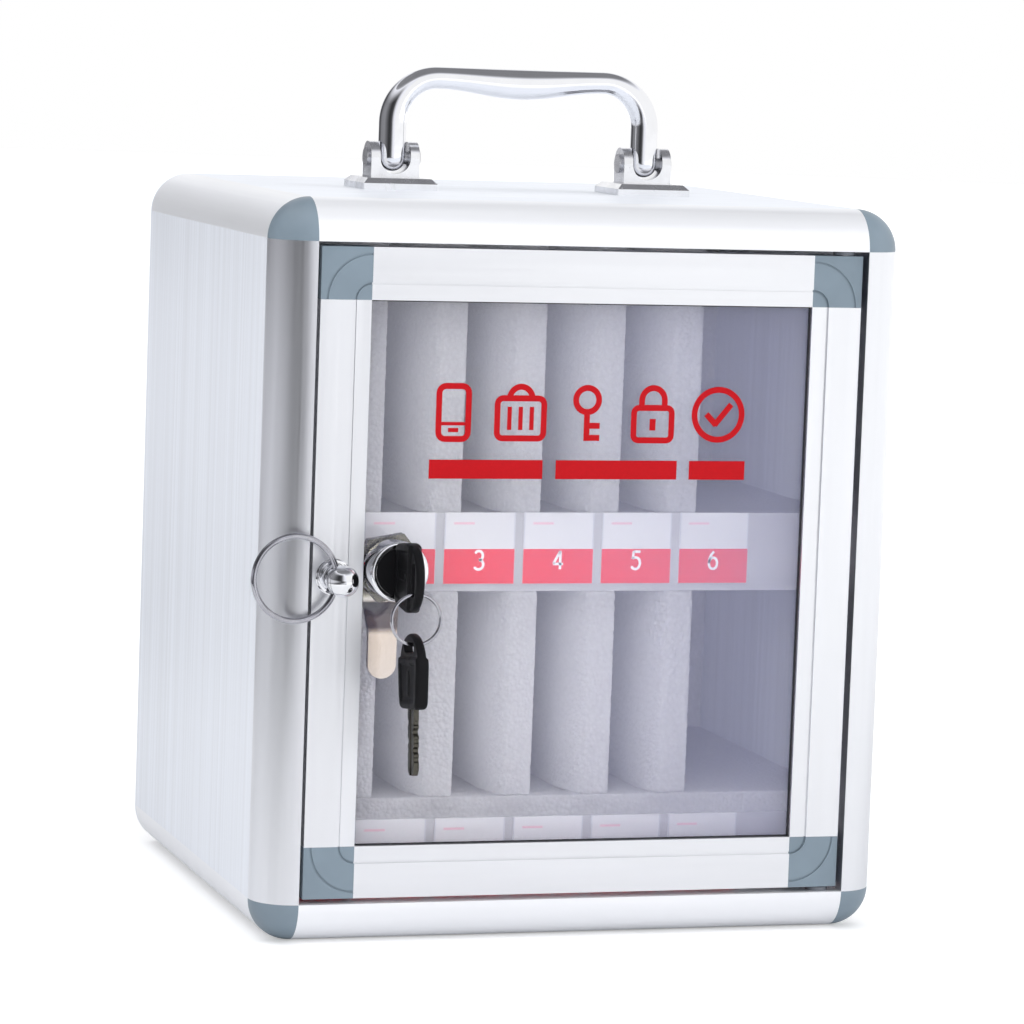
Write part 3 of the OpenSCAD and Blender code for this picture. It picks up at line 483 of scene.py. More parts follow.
def make_pane_signs():
    """Five plain signs on the pane over three bars: phone, case, key, padlock and tick."""
    signs, front = Shells(), PANE_FRONT - SIGN_INK
    for k, strokes in enumerate(SIGNS):
        centre = [SIGN_X0 + SIGN_PITCH * k, SIGN_Z]
        for path, width, looped, lift in strokes:
            stroke(signs, path + centre, width, PANE_FRONT, front - lift, looped)
    for left, right in BARS:
        stroke(signs, line(left, BAR_Z, right, BAR_Z), BAR_H, PANE_FRONT, front)
    piece = signs.piece("pane_signs")
    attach(piece, "door")
    return piece


# Keys: moulded heads and cut blades

LOCK_X = -75.5
LOCK_Z = 142.5
SHOULDER_Y = -113.2
RING_Y = -136.0
HANG_Z = 118.522
HANG_W = 2.664
HANG_U = -23.734
LEAN = math.radians(7.0)
HEAD_R = 13.0
ROUND_AT = 15.0
SHOULDER_W = 22.4
HEAD_T = 5.0
EYE_T = 3.4
EYE_AT = 19.0
SLOT_AT = 22.8
SLOT_RUN = 4.25
SLOT_R = 2.0
RIM_R = 1.25
SLOT_RIM_R = 0.45
FIELD_DEPTH = 0.55
FIELD_FROM = 2.6
FIELD_TO = EYE_AT - 2.0
FIELD_HALF = 8.6
BAR_RISE = 0.4
BAR_FROM = 4.6
BAR_TO = 14.4
BAR_HALF = 1.7
HEAD_RAYS = 192
BLADE_W = 8.0
BLADE_T = 2.0
BLADE_L = 24.5
BLADE_ROOT = 6.0
BLADE_ROWS = 120
GROOVE = 0.35
GROOVE_HALF = 1.3
CUT_HALF = 0.55
CUT_SLOPE = 1.1
# Cuts along the blade: place, depth on one edge and on the other
CUTS = ((-5.0, 0.5, 1.0), (-8.4, 1.2, 0.4), (-11.8, 0.3, 1.1), (-15.2, 1.0, 0.7), (-18.6, 0.6, 0.2))


def place_key(x, w, u, hanging):
    """Key drawn with its shoulder at zero, u towards its round end and w across: either pointing
    forward from the lock, or hanging from the split ring and leaning."""
    if not hanging:
        return np.stack([LOCK_X + x, SHOULDER_Y - u, LOCK_Z + w], -1)
    y, z = w + HANG_W, u + HANG_U
    return np.stack([LOCK_X + x, RING_Y + y * math.cos(LEAN) + z * math.sin(LEAN),
                     HANG_Z - y * math.sin(LEAN) + z * math.cos(LEAN)], -1)


def head_reach(a):
    """Distance from the slot's centre to the head's outline in direction a: to the round end's
    circle, and short of it to the flanks and the shoulder, which meet in a rounded corner."""
    c, s = np.cos(a), np.abs(np.sin(a))
    ahead = SLOT_AT - ROUND_AT
    round_end = -ahead * c + np.sqrt(HEAD_R ** 2 - (ahead * s) ** 2)
    rise = (HEAD_R - SHOULDER_W / 2) / ROUND_AT
    flank = (SHOULDER_W / 2 + rise * SLOT_AT) / np.maximum(s - rise * c, 1e-3)
    shoulder = np.where(c < -1e-3, SLOT_AT / np.maximum(-c, 1e-3), 1e3)
    low = (flank ** -16.0 + shoulder ** -16.0) ** (-1 / 16.0)
    return np.where(SLOT_AT + round_end * c >= ROUND_AT, round_end, np.minimum(low, round_end + 9))


def slot_reach(a):
    """Distance from the slot's centre to its rim: two straight sides and two half circles."""
    c, s = np.abs(np.cos(a)), np.abs(np.sin(a))
    side = SLOT_R / np.maximum(c, 1e-3)
    end = SLOT_RUN * s + np.sqrt(np.clip(SLOT_R ** 2 - (SLOT_RUN * c) ** 2, 0, None))
    return np.where(side * s <= SLOT_RUN, side, end)


def make_key_head(number, hanging):
    """Moulded head: in each direction from the slot's centre a line runs from the slot's rim to the
    outline on one face and back on the other. The half thickness falls to the eye in one step, is
    rounded off at both rims by quarter circles, and has a sunk field with a raised bar."""
    a = np.linspace(0, TAU, HEAD_RAYS, endpoint=False)[:, None]
    start, width = slot_reach(a), head_reach(a) - slot_reach(a)
    curl = 1 - np.cos(np.radians(np.linspace(0, 90, 6)))
    span = np.linspace(0, 1, 34)[None, 1:-1]
    away = np.concatenate([np.broadcast_to(SLOT_RIM_R * curl, (HEAD_RAYS, curl.size)),
                           SLOT_RIM_R + (width - RIM_R - SLOT_RIM_R) * span,
                           width - RIM_R * curl[::-1]], 1)
    u, w = SLOT_AT + (start + away) * np.cos(a), (start + away) * np.sin(a)
    half = EYE_T / 2 + (HEAD_T - EYE_T) / 2 * ease((EYE_AT + 0.4 - u) / 0.8)
    for r, distance in ((RIM_R, width - away), (SLOT_RIM_R, away)):
        half = half - (r - np.sqrt(r * r - np.clip(r - distance, 0, None) ** 2))
    field = np.minimum(np.minimum(u - FIELD_FROM, FIELD_TO - u), FIELD_HALF - np.abs(w) + 0.1 * u)
    bar = np.minimum(BAR_HALF - np.abs(w), np.minimum(u - BAR_FROM, BAR_TO - u))
    half = half - FIELD_DEPTH * ease(field / 0.7) + BAR_RISE * ease(bar / 0.5)
    rings = np.concatenate([place_key(half, w, u, hanging),
                            place_key(-half, w, u, hanging)[:, ::-1]], 1)
    shells = Shells()
    shells.add(rings, looped=True)
    name = "key_head_%d" % number
    piece = shells.piece("key_bow_%d" % number, crease=50)
    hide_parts(name)
    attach(piece, "hanging_key" if hanging else "key_in_lock")
    return piece


def make_key_blade(number, hanging):
    """Blade: one outline with a milled groove in each face is carried from the head to the tip. Its
    edges are cut in at five places on each side, and it narrows to the tip."""
    u = np.concatenate([[BLADE_ROOT], np.linspace(1.0, -BLADE_L, BLADE_ROWS)])
    low, high = np.full(u.size, BLADE_W / 2), np.full(u.size, BLADE_W / 2)
    for at, left, right in CUTS:
        fall = np.clip(np.abs(u - at) - CUT_HALF, 0, None) * CUT_SLOPE
        low -= np.clip(left - fall, 0, None)
        high -= np.clip(right - fall, 0, None)
    tip = BLADE_W / 4 + (u + BLADE_L)
    low, high = np.minimum(low, tip), np.minimum(high, tip)
    t, sunk = BLADE_T / 2, BLADE_T / 2 - GROOVE
    groove = np.minimum(GROOVE_HALF, tip - 0.9)
    floor = groove - GROOVE
    across = np.stack([-low, -groove, -floor, floor, groove, high,
                       high, groove, floor, -floor, -groove, -low], 1)
    thick = np.array([-t, -t, -sunk, -sunk, -t, -t, t, t, sunk, sunk, t, t])[None, :]
    shells = Shells()
    shells.add(place_key(np.broadcast_to(thick, across.shape), across,
                         np.broadcast_to(u[:, None], across.shape), hanging))
    piece = shells.piece("key_bit_%d" % number, crease=30)
    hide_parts("key_blade_%d" % number)
    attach(piece, "hanging_key" if hanging else "key_in_lock")
    return piece


# Turned skins: profiles of (y, radius) round the knob's and the lock's axes

KNOB_X = -99.3
KNOB_Z = 140.0
BALL_Y = -119.1
BALL_R = 6.04
NECK_R = 3.9
TURN_SIDES = 96
FLANGE_PROFILE = ((-105.1, NECK_R), (-105.1, 6.9), (-105.7, 6.9), (-106.0, 6.55), (-106.6, 6.5),
                  (-106.95, 6.1), (-107.0, 5.3), (-106.8, 4.9), (-107.2, 4.6), (-107.6, 4.3),
                  (-108.2, 4.04), (-108.2, NECK_R))
COLLAR_PROFILE = ((-101.75, 10.0), (-101.75, 11.44), (-111.2, 11.44), (-111.8, 11.3), (-112.2, 11.0),
                  (-112.42, 10.6), (-112.45, 10.2), (-112.45, 9.4), (-112.36, 9.22), (-112.1, 9.16),
                  (-111.2, 9.16), (-111.2, 10.0))
GUARD_FROM = 4.8
GUARD_TO = 8.5
GUARD_W = 2.9
GUARD_BACK = -111.9
GUARD_FRONT = -112.5


def turn_profile(shells, profile, x, z, looped):
    """Profile of (y, radius) turned round an axis along Y through x and z."""
    profile = np.asarray(profile, float)
    a = np.linspace(0, TAU, TURN_SIDES, endpoint=False)[None, :]
    shells.add(np.stack([x + profile[:, 1, None] * np.cos(a),
                         np.broadcast_to(profile[:, 0, None], (len(profile), TURN_SIDES)),
                         z + profile[:, 1, None] * np.sin(a)], -1), looped)


def make_turned_skins():
    """Smooth skins over the knob's ball and flange and over the lock's collar, and two flat guards
    beside the keyway."""
    knob, lock, guard = Shells(), Shells(), Shells()
    ball = arc(BALL_Y, 0, BALL_R, BALL_R, 42, 179, 46)
    turn_profile(knob, np.concatenate([[[ball[0, 0], NECK_R]], ball]), KNOB_X, KNOB_Z, False)
    turn_profile(knob, FLANGE_PROFILE, KNOB_X, KNOB_Z, True)
    turn_profile(lock, COLLAR_PROFILE, LOCK_X, LOCK_Z, True)
    for side in (-1, 1):
        path = line(LOCK_X, LOCK_Z + side * GUARD_FROM, LOCK_X, LOCK_Z + side * GUARD_TO)
        stroke(guard, path, GUARD_W, GUARD_BACK, GUARD_FRONT)
    pieces = (knob.piece("knob_skin"), lock.piece("lock_collar"), guard.piece("keyway_guard"))
    for piece, body, slot in zip(pieces, ("door", "door", "lock_core"),
                                 ("bright_chrome", "bright_chrome", "bare_steel")):
        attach(piece, body)
    return pieces


# Shader nodes

class Nodes:
    """Shader nodes of a material or of the world."""

    def __init__(self, tree):
        self.tree = tree

    def join(self, out, into):
        self.tree.links.new(out, into)

    def node(self, kind, **settings):
        made = self.tree.nodes.new("ShaderNode" + kind)
        for key, value in settings.items():
            setattr(made, key, value)
        return made

    def shader_of(self, kind, colour):
        """Plain shader of one colour."""
        made = self.node(kind)
        made.inputs["Color"].default_value = (*colour, 1.0)
        return made

    def maths(self, operation, one, other):
        made = self.node("Math", operation=operation)
        self.join(one, made.inputs[0])
        self.join(other, made.inputs[1])
        return made.outputs[0]

    def blend(self, share, under, over):
        """Two shaders mixed: share is a number or an output, and 1 shows only over."""
        made = self.node("MixShader")
        if isinstance(share, float):
            made.inputs[0].default_value = share
        else:
            self.join(share, made.inputs[0])
        self.join(under.outputs[0], made.inputs[1])
        self.join(over.outputs[0], made.inputs[2])
        return made

    def show(self, shader, output="Material Output"):
        self.join(shader.outputs[0], self.tree.nodes[output].inputs["Surface"])


class Finish(Nodes):
    """A Principled material with patterns on Object coordinates. Patterns take the features per metre,
    as one number or as one for each axis."""

    def __init__(self, name, colour, rough, metal=0.0, **sockets):
        self.material = bpy.data.materials.new(name)
        self.material.use_nodes = True
        super().__init__(self.material.node_tree)
        self.colour = colour
        self.shader = self.tree.nodes["Principled BSDF"]
        self.shader.inputs["Base Color"].default_value = (*colour, 1.0)
        self.shader.inputs["Roughness"].default_value = rough
        self.shader.inputs["Metallic"].default_value = metal
        for socket, value in sockets.items():
            self.shader.inputs[socket.replace("_", " ")].default_value = value

    def place(self):
        return self.node("TexCoord").outputs["Object"]

    def along(self, axis):
        """Object coordinate along one axis, in metres."""
        split = self.node("SeparateXYZ")
        self.join(self.place(), split.inputs[0])
        return split.outputs[axis]

    def pattern(self, kind, stretch):
        spot, made = self.node("Mapping"), self.node(kind)
        spot.inputs["Scale"].default_value = stretch if np.ndim(stretch) else (stretch,) * 3
        made.inputs["Scale"].default_value = 1.0
        self.join(self.place(), spot.inputs["Vector"])
        self.join(spot.outputs["Vector"], made.inputs["Vector"])
        return made

    def noise(self, stretch, detail=3.0):
        made = self.pattern("TexNoise", stretch)
        made.inputs["Detail"].default_value = detail
        made.inputs["Roughness"].default_value = 0.55
        return made.outputs["Fac"]

    def cells(self, stretch):
        return self.pattern("TexVoronoi", stretch).outputs["Distance"]

    def between(self, value, low, high, start=0.3, end=0.7):
        """Maps value from start..end to low..high."""
        made = self.node("MapRange")
        for socket, number in (("From Min", start), ("From Max", end), ("To Min", low), ("To Max", high)):
            made.inputs[socket].default_value = number
        self.join(value, made.inputs["Value"])
        return made.outputs["Result"]

    def vary_colour(self, value, dark, light, start=0.3, end=0.7):
        """Base colour between dark and light times the finish's colour."""
        mix = self.node("Mix", data_type="RGBA")
        mix.inputs[6].default_value = (*(c * dark for c in self.colour), 1.0)
        mix.inputs[7].default_value = (*(min(1.0, c * light) for c in self.colour), 1.0)
        self.join(self.between(value, 0.0, 1.0, start, end), mix.inputs[0])
        self.join(mix.outputs[2], self.shader.inputs["Base Color"])

    def vary_rough(self, value, low, high):
        self.join(self.between(value, low, high), self.shader.inputs["Roughness"])

    def bump(self, value, height, strength=1.0):
        """Bump of that height in millimetres, on top of the bumps before it."""
        made = self.node("Bump")
        made.inputs["Distance"].default_value = height * MM
        made.inputs["Strength"].default_value = strength
        self.join(value, made.inputs["Height"])
        normal = self.shader.inputs["Normal"]
        if normal.is_linked:
            self.join(normal.links[0].from_socket, made.inputs["Normal"])
        self.join(made.outputs["Normal"], normal)


# Materials of the casing and the door

DOOR_COLOUR = (0.88, 0.89, 0.92)
# The pane's bluish haze, a faint cloudiness with a painted reflection that grows to the right: its share
# at the left and at the right, between two places across it in metres
HAZE_AND_REFLECTION_LEFT = 0.038
HAZE_AND_REFLECTION_RIGHT = 0.125
HAZE_AND_REFLECTION_FROM = -0.05
HAZE_AND_REFLECTION_TO = 0.085


def anodised(name, axis, colour=(0.86, 0.87, 0.90), rough=0.34, metal=1.0):
    """Satin anodised aluminium with drawn lines along an axis."""
    stretch, wide = [900.0] * 3, [60.0] * 3
    stretch[axis], wide[axis] = 6.0, 4.0
    made = Finish(name, colour, rough, metal)
    lines = made.noise(stretch, 2.0)
    made.vary_colour(made.noise(wide), 0.955, 1.03)
    made.vary_rough(lines, rough - 0.05, rough + 0.06)
    made.bump(lines, 0.012, 0.5)
    return made.material


def brushed_sheet():
    """Panels: satin sheet brushed from bottom to top."""
    made = Finish("brushed_sheet", (0.82, 0.85, 0.91), 0.42, 0.1)
    streaks = made.noise((30, 420, 3.0), 1.0)
    made.vary_colour(streaks, 0.94, 1.05)
    made.vary_rough(streaks, 0.36, 0.5)
    made.bump(made.noise((20, 160, 3.0), 2.0), 0.012, 0.3)
    return made.material


def grey_plastic():
    """Corners: slightly cloudy plastic with a fine grit."""
    made = Finish("grey_plastic", (0.175, 0.225, 0.27), 0.38)
    cloud = made.noise(45)
    made.vary_colour(cloud, 0.92, 1.08)
    made.vary_rough(cloud, 0.34, 0.48)
    made.bump(made.noise(1800, 2.0), 0.02, 0.5)
    return made.material


def bead_foam():
    """Foam: beads with darker seams, and a share of the light goes through."""
    made = Finish("bead_foam", (0.92, 0.92, 0.93), 0.72)
    beads, fine = made.cells(620), made.noise(1500, 2.0)
    made.vary_colour(beads, 1.08, 0.84, 0.1, 0.85)
    made.vary_rough(fine, 0.55, 0.85)
    made.bump(beads, -0.9)
    made.bump(fine, 0.06, 0.5)
    through = made.shader_of("BsdfTranslucent", (0.97, 0.97, 0.98))
    made.show(made.blend(0.58, made.shader, through))
    return made.material


def shelf_white():
    """Shelf and label strips: painted board."""
    made = Finish("shelf_white", (0.45, 0.45, 0.47), 0.5)
    made.vary_colour(made.noise((25, 25, 60)), 0.97, 1.02)
    made.bump(made.noise(900), 0.01, 0.4)
    return made.material


def card_paper():
    made = Finish("card_paper", (0.69, 0.695, 0.71), 0.55)
    fibre = made.noise((1400, 1400, 500), 4.0)
    made.vary_colour(fibre, 0.97, 1.02)
    made.bump(fibre, 0.01, 0.4)
    return made.material


def ink(name, colour):
    made = Finish(name, colour, 0.45, Specular_IOR_Level=0.2)
    grain = made.noise(900)
    made.vary_colour(grain, 0.94, 1.04)
    made.bump(grain, 0.008, 0.4)
    return made.material


def clear_pane():
    """Pane: clear, with a thin bluish haze that is partly cloudiness and partly a painted reflection
    growing to the right, and plain to shadow rays.
    """
    made = Finish("clear_pane", (0.89, 0.89, 0.90), 0.03, Transmission_Weight=1.0, IOR=1.49)
    made.vary_rough(made.noise(14), 0.015, 0.05)
    # Painted reflection: a lit bluish haze over a faint cloudiness, whose share grows from left to right
    haze_and_reflection = made.shader_of("BsdfDiffuse", (0.44, 0.46, 0.76))
    thickness = made.between(made.along("X"), HAZE_AND_REFLECTION_LEFT, HAZE_AND_REFLECTION_RIGHT, HAZE_AND_REFLECTION_FROM, HAZE_AND_REFLECTION_TO)
    hazed_and_reflecting = made.blend(thickness, made.shader, haze_and_reflection)
    clear = made.shader_of("BsdfTransparent", (0.88, 0.88, 0.89))
    made.show(made.blend(made.node("LightPath").outputs["Is Shadow Ray"], hazed_and_reflecting, clear))
    return made.material


def black_rubber():
    made = Finish("black_rubber", (0.018, 0.018, 0.022), 0.6)
    made.vary_rough(made.noise(300), 0.5, 0.75)
    made.bump(made.noise(1500), 0.02, 0.5)
    return made.material


def bush_plastic():
    made = Finish("bush_plastic", (0.12, 0.13, 0.15), 0.45)
    made.vary_rough(made.noise(300), 0.38, 0.55)
    made.bump(made.noise(1500), 0.015, 0.5)
    return made.material


# Materials of the handle, the knob, the lock and the keys

# The cam's colours from the tongue's tip up over the crank to the plate: share of the height and tone. The
# tongue and plate show the yellow passivation; the dark band over the crank is a painted dark reflection,
# and the light stop at the bend is a painted highlight.
CAM_FOOT_Z = 0.099
CAM_TOP_Z = 0.142
CAM_TONES_AND_PAINTED_LIGHT = ((0.0, (1.0, 0.87, 0.72)), (0.40, (1.0, 0.85, 0.68)), (0.46, (0.10, 0.06, 0.04)),
             (0.66, (0.22, 0.16, 0.11)), (0.70, (1.0, 0.95, 0.85)), (0.74, (0.62, 0.58, 0.40)),
             (1.0, (0.50, 0.47, 0.34)))


def bright_chrome():
    made = Finish("bright_chrome", (0.90, 0.905, 0.93), 0.06, 1.0)
    smear = made.noise(70, 4.0)
    made.vary_rough(smear, 0.035, 0.12)
    made.vary_colour(smear, 0.97, 1.02)
    made.bump(made.noise(500, 2.0), 0.002, 0.3)
    return made.material


def ring_wire():
    made = Finish("ring_wire", (0.46, 0.46, 0.50), 0.12, 1.0)
    drawn = made.noise(260)
    made.vary_rough(drawn, 0.08, 0.2)
    made.vary_colour(drawn, 0.86, 1.12)
    made.bump(made.noise(700, 2.0), 0.004, 0.4)
    return made.material


def cast_chrome():
    made = Finish("cast_chrome", (0.88, 0.885, 0.91), 0.2, 1.0)
    made.vary_rough(made.noise(160, 4.0), 0.14, 0.3)
    made.vary_colour(made.noise(90), 0.94, 1.04)
    made.bump(made.noise(420, 2.0), 0.01, 0.5)
    return made.material


def nut_plating():
    made = Finish("nut_plating", (0.20, 0.19, 0.15), 0.24, 1.0)
    made.vary_rough(made.noise(400), 0.18, 0.34)
    made.vary_colour(made.noise((200, 120, 200)), 0.8, 1.2)
    made.bump(made.noise(500), 0.01, 0.5)
    return made.material


def black_plastic():
    made = Finish("black_plastic", (0.006, 0.006, 0.007), 0.3, Specular_IOR_Level=0.10)
    made.vary_rough(made.noise(120), 0.3, 0.46)
    made.bump(made.noise(1600, 2.0), 0.015, 0.6)
    return made.material


def bare_steel():
    made = Finish("bare_steel", (0.60, 0.60, 0.62), 0.3, 1.0)
    marks = made.noise(900)
    made.vary_rough(marks, 0.22, 0.42)
    made.vary_colour(made.noise(160), 0.88, 1.08)
    made.bump(marks, 0.01, 0.5)
    return made.material


def cam_plating():
    """Cam: yellow plating by height, with a painted dark reflection over the crank and a painted highlight
    at its bend.
    """
    made = Finish("cam_plating", (0.98, 0.86, 0.74), 0.2, 1.0)
    # Painted light: the ramp paints a dark reflection on the crank and a highlight at its bend
    tones_and_painted_light = made.node("ValToRGB")
    made.join(made.between(made.along("Z"), 0.0, 1.0, CAM_FOOT_Z, CAM_TOP_Z), tones_and_painted_light.inputs[0])
    stops = tones_and_painted_light.color_ramp.elements
    for at, tone in CAM_TONES_AND_PAINTED_LIGHT:
        stop = stops[0] if at == 0.0 else stops[-1] if at == 1.0 else stops.new(at)
        stop.position, stop.color = at, (*tone, 1.0)
    made.join(tones_and_painted_light.outputs[0], made.shader.inputs["Base Color"])
    made.vary_rough(made.noise((500, 500, 300)), 0.16, 0.24)
    made.bump(made.noise(300), 0.004, 0.4)
    return made.material


def key_metal():
    made = Finish("key_metal", (0.10, 0.095, 0.08), 0.28, 1.0)
    scratch = made.noise((1200, 1200, 90))
    made.vary_colour(scratch, 0.8, 1.15)
    made.vary_rough(scratch, 0.2, 0.42)
    made.bump(scratch, 0.01, 0.6)
    return made.material


def dress(material, *objects):
    for obj in objects:
        obj.data.materials.clear()
        obj.data.materials.append(material)


def dress_nodes(material, *names):
    dress(material, *(nodes[name] for name in names))


# Floor, world and lamps

FLOOR_RINGS = (0.5, 500.0, 2000.0, 9000.0)
FLOOR_LIFT = (0.34, 0.34, 0.335)
# Distances from the centre in metres between which the lift comes in for gloss and glass
LIFT_FROM = 0.35
LIFT_TO = 1.3
WORLD_LEVEL = 0.34
# Lamps: direction or place in metres, angle in degrees or size, and strength
SOFT_BOX = ("front_lamp", (-0.42, -0.85, 0.42), (-0.02, -0.06, 0.20), 0.35, 1.9)
SUNS = (("fill_lamp", (-0.27, -0.96, 0.03), 18, 0.9, False),
        ("side_lamp", (-1.0, -0.25, 0.45), 44, 0.4, False),
        ("right_lamp", (1.0, -0.5, 0.30), 44, 1.8, False),
        ("top_lamp", (-0.1, -0.2, 1.0), 60, 1.5, False),
        ("corner_lamp", (-0.40, 0.25, 0.87), 22, 0.3, True))


def make_floor():
    """Round floor of rings, pale, seen a little lifted so that it meets the white background. In
    gloss and through the pane it is lifted away from the object only."""
    a = np.linspace(0, TAU, 97)
    rim = np.stack([np.cos(a), np.sin(a), np.zeros(a.size)], -1)
    shells = Shells()
    shells.skin(rim[None] * np.array(FLOOR_RINGS)[:, None, None])
    floor = shells.piece("floor")
    paint = Finish("floor_paint", (0.76, 0.765, 0.78), 0.7)
    paint.vary_colour(paint.noise(3), 0.995, 1.005)
    away = paint.node("VectorMath", operation="LENGTH")
    paint.join(paint.place(), away.inputs[0])
    far = paint.between(away.outputs["Value"], 0.0, 1.0, LIFT_FROM, LIFT_TO)
    rays = paint.node("LightPath").outputs
    mirrored = paint.maths("MAXIMUM", rays["Is Glossy Ray"], rays["Is Transmission Ray"])
    strength = paint.maths("MAXIMUM", rays["Is Camera Ray"], paint.maths("MULTIPLY", mirrored, far))
    lift, both = paint.shader_of("Emission", FLOOR_LIFT), paint.node("AddShader")
    paint.join(strength, lift.inputs["Strength"])
    paint.join(paint.shader.outputs[0], both.inputs[0])
    paint.join(lift.outputs[0], both.inputs[1])
    paint.show(both)
    dress(paint.material, floor)


def make_world():
    """White to the camera, to gloss and to glass, and a plain level for the rest."""
    world = bpy.data.worlds.new("studio")
    world.use_nodes = True
    bpy.context.scene.world = world
    sky = Nodes(world.node_tree)
    seen, given = sky.tree.nodes["Background"], sky.shader_of("Background", (0.97, 0.98, 1.0))
    seen.inputs["Color"].default_value = (1, 1, 1, 1)
    seen.inputs["Strength"].default_value = 1.0
    given.inputs["Strength"].default_value = WORLD_LEVEL
    rays = sky.node("LightPath").outputs
    plain = sky.maths("MAXIMUM", rays["Is Camera Ray"], rays["Is Glossy Ray"])
    white = sky.maths("MAXIMUM", plain, rays["Is Transmission Ray"])
    sky.show(sky.blend(white, given, seen), "World Output")


def aim_lamp(name, data, toward):
    """Lamp whose back points toward that direction."""
    lamp = put_object(name, data)
    lamp.rotation_mode = "QUATERNION"
    lamp.rotation_quaternion = Vector(toward).to_track_quat("Z", "Y")
    return lamp


def sun_lamp(name, toward, width, strength, in_gloss):
    """Broad even lamp in a direction from the object, wide enough for soft shadows."""
    data = bpy.data.lights.new(name, "SUN")
    data.angle, data.energy = math.radians(width), strength
    aim_lamp(name, data, toward).visible_glossy = in_gloss


def near_lamp(name, at, aim, size, power):
    """Soft box near the object, so that its light falls off across the bays; gloss doesn't show it."""
    data = bpy.data.lights.new(name, "AREA")
    data.shape, data.size, data.energy = "SQUARE", size, power
    lamp = aim_lamp(name, data, Vector(at) - Vector(aim))
    lamp.location = at
    lamp.visible_glossy = lamp.visible_camera = False


# Screens

SCREEN_COLOUR = (0.94, 0.945, 1.0, 1.0)
SCREEN_R = 640.0
SCREEN_FADE = 600.0
SCREEN_TOP = 1000.0
SCREEN_END = 172
# Angle to the left of the front, grey beside the door and, higher up, grey beside the handle
SCREEN_GREYS = ((0, 1.0, 1.0), (10, 0.86, 1.0), (18, 0.34, 0.6), (27, 0.09, 0.10), (36, 0.08, 0.05),
                (48, 0.22, 0.04), (60, 0.46, 0.10), (72, 0.66, 0.18), (84, 0.74, 0.26),
                (96, 0.76, 0.27), (116, 0.68, 0.24), (134, 0.60, 0.10), (150, 0.60, 0.07),
                (160, 0.8, 0.3), (SCREEN_END, 1.0, 1.0))
# The dark band beside the door leans: downwards it turns away from the front, by so many degrees
# for a millimetre, and the screen darkens towards its foot
LEAN_LOW = 14.0
LEAN_MIDDLE = 104.0
LEAN_HIGH = 136.0
LEAN_RATE = 0.265
FOOT_SHADE = 0.45
HANDLE_FROM = 200.0
HANDLE_TO = 235.0
RING_HEIGHTS = (2, LEAN_LOW, 50, LEAN_MIDDLE, LEAN_HIGH, 170, HANDLE_FROM, 212, 224, HANDLE_TO, 300,
                SCREEN_FADE, 700, 800, 900, SCREEN_TOP)
CEILING_Z = 1400.0
CEILING_Y = 200.0
CEILING_GREY = 0.24
CEILING_FADE = 800.0
CEILING_R = 1500.0
CEILING_RINGS = (5, 400, CEILING_FADE, 950, 1100, 1250, 1400, CEILING_R)


def grey_screen(name, rings, shade):
    """Screen that only gloss shows: its grey at each point comes from shade(points in millimetres)."""
    shells = Shells()
    shells.skin(rings)
    screen = shells.piece(name)
    mesh = screen.data
    spots = np.empty(len(mesh.vertices) * 3)
    mesh.vertices.foreach_get("co", spots)
    grey = mesh.attributes.new("grey", "FLOAT", "POINT")
    grey.data.foreach_set("value", shade(spots.reshape(-1, 3) / MM).astype(np.float32))
    cloth = Finish(name + "_cloth", (0.0, 0.0, 0.0), 0.9, Specular_IOR_Level=0.0,
                   Emission_Color=SCREEN_COLOUR)
    held = cloth.node("Attribute", attribute_name="grey").outputs["Fac"]
    weave = cloth.between(cloth.noise(6), 0.94, 1.06)
    cloth.join(cloth.maths("MULTIPLY", held, weave), cloth.shader.inputs["Emission Strength"])
    dress(cloth.material, screen)
    screen.visible_camera = screen.visible_diffuse = screen.visible_shadow = False
    screen.visible_transmission = False


def side_grey(spots):
    """Greys by angle, blended by height from beside the door to beside the handle and to white."""
    angles, door_greys, handle_greys = zip(*SCREEN_GREYS)
    angle, z = np.degrees(np.arctan2(-spots[:, 0], -spots[:, 1])), spots[:, 2]
    lean = LEAN_RATE * (np.clip(z, LEAN_LOW, LEAN_HIGH) - LEAN_MIDDLE)
    beside = np.interp(angle + lean, angles, door_greys)
    above = np.interp(angle, angles, handle_greys)
    beside = beside * (FOOT_SHADE + (1 - FOOT_SHADE) * ease(z / LEAN_MIDDLE))
    base = beside + (above - beside) * ease((z - HANDLE_FROM) / (HANDLE_TO - HANDLE_FROM))
    return base + (1 - base) * ease((z - SCREEN_FADE) / (SCREEN_TOP - SCREEN_FADE))


def ceiling_grey(spots):
    """Even in the middle, and lighter towards the rim."""
    away = np.hypot(spots[:, 0], spots[:, 1] - CEILING_Y)
    return CEILING_GREY + (1 - CEILING_GREY) * ease((away - CEILING_FADE) / (CEILING_R - CEILING_FADE))


def make_screens():
    """A curved screen to the left and a round one overhead, each a grid of rings."""
    a = np.radians(np.arange(0, SCREEN_END + 0.1, 2))
    rim = np.stack([-SCREEN_R * np.sin(a), -SCREEN_R * np.cos(a)], -1)
    rings = np.stack([np.insert(rim, 2, z, axis=1) for z in RING_HEIGHTS])
    grey_screen("side_screen", rings, side_grey)
    a = np.linspace(0, TAU, 49)
    rings = np.stack([np.stack([r * np.cos(a), CEILING_Y + r * np.sin(a), np.full(a.size, CEILING_Z)], -1)
                      for r in CEILING_RINGS])
    grey_screen("ceiling_screen", rings, ceiling_grey)


stand_camera()
make_world()
make_floor()
near_lamp(*SOFT_BOX)
for lamp in SUNS:
    sun_lamp(*lamp)
make_screens()

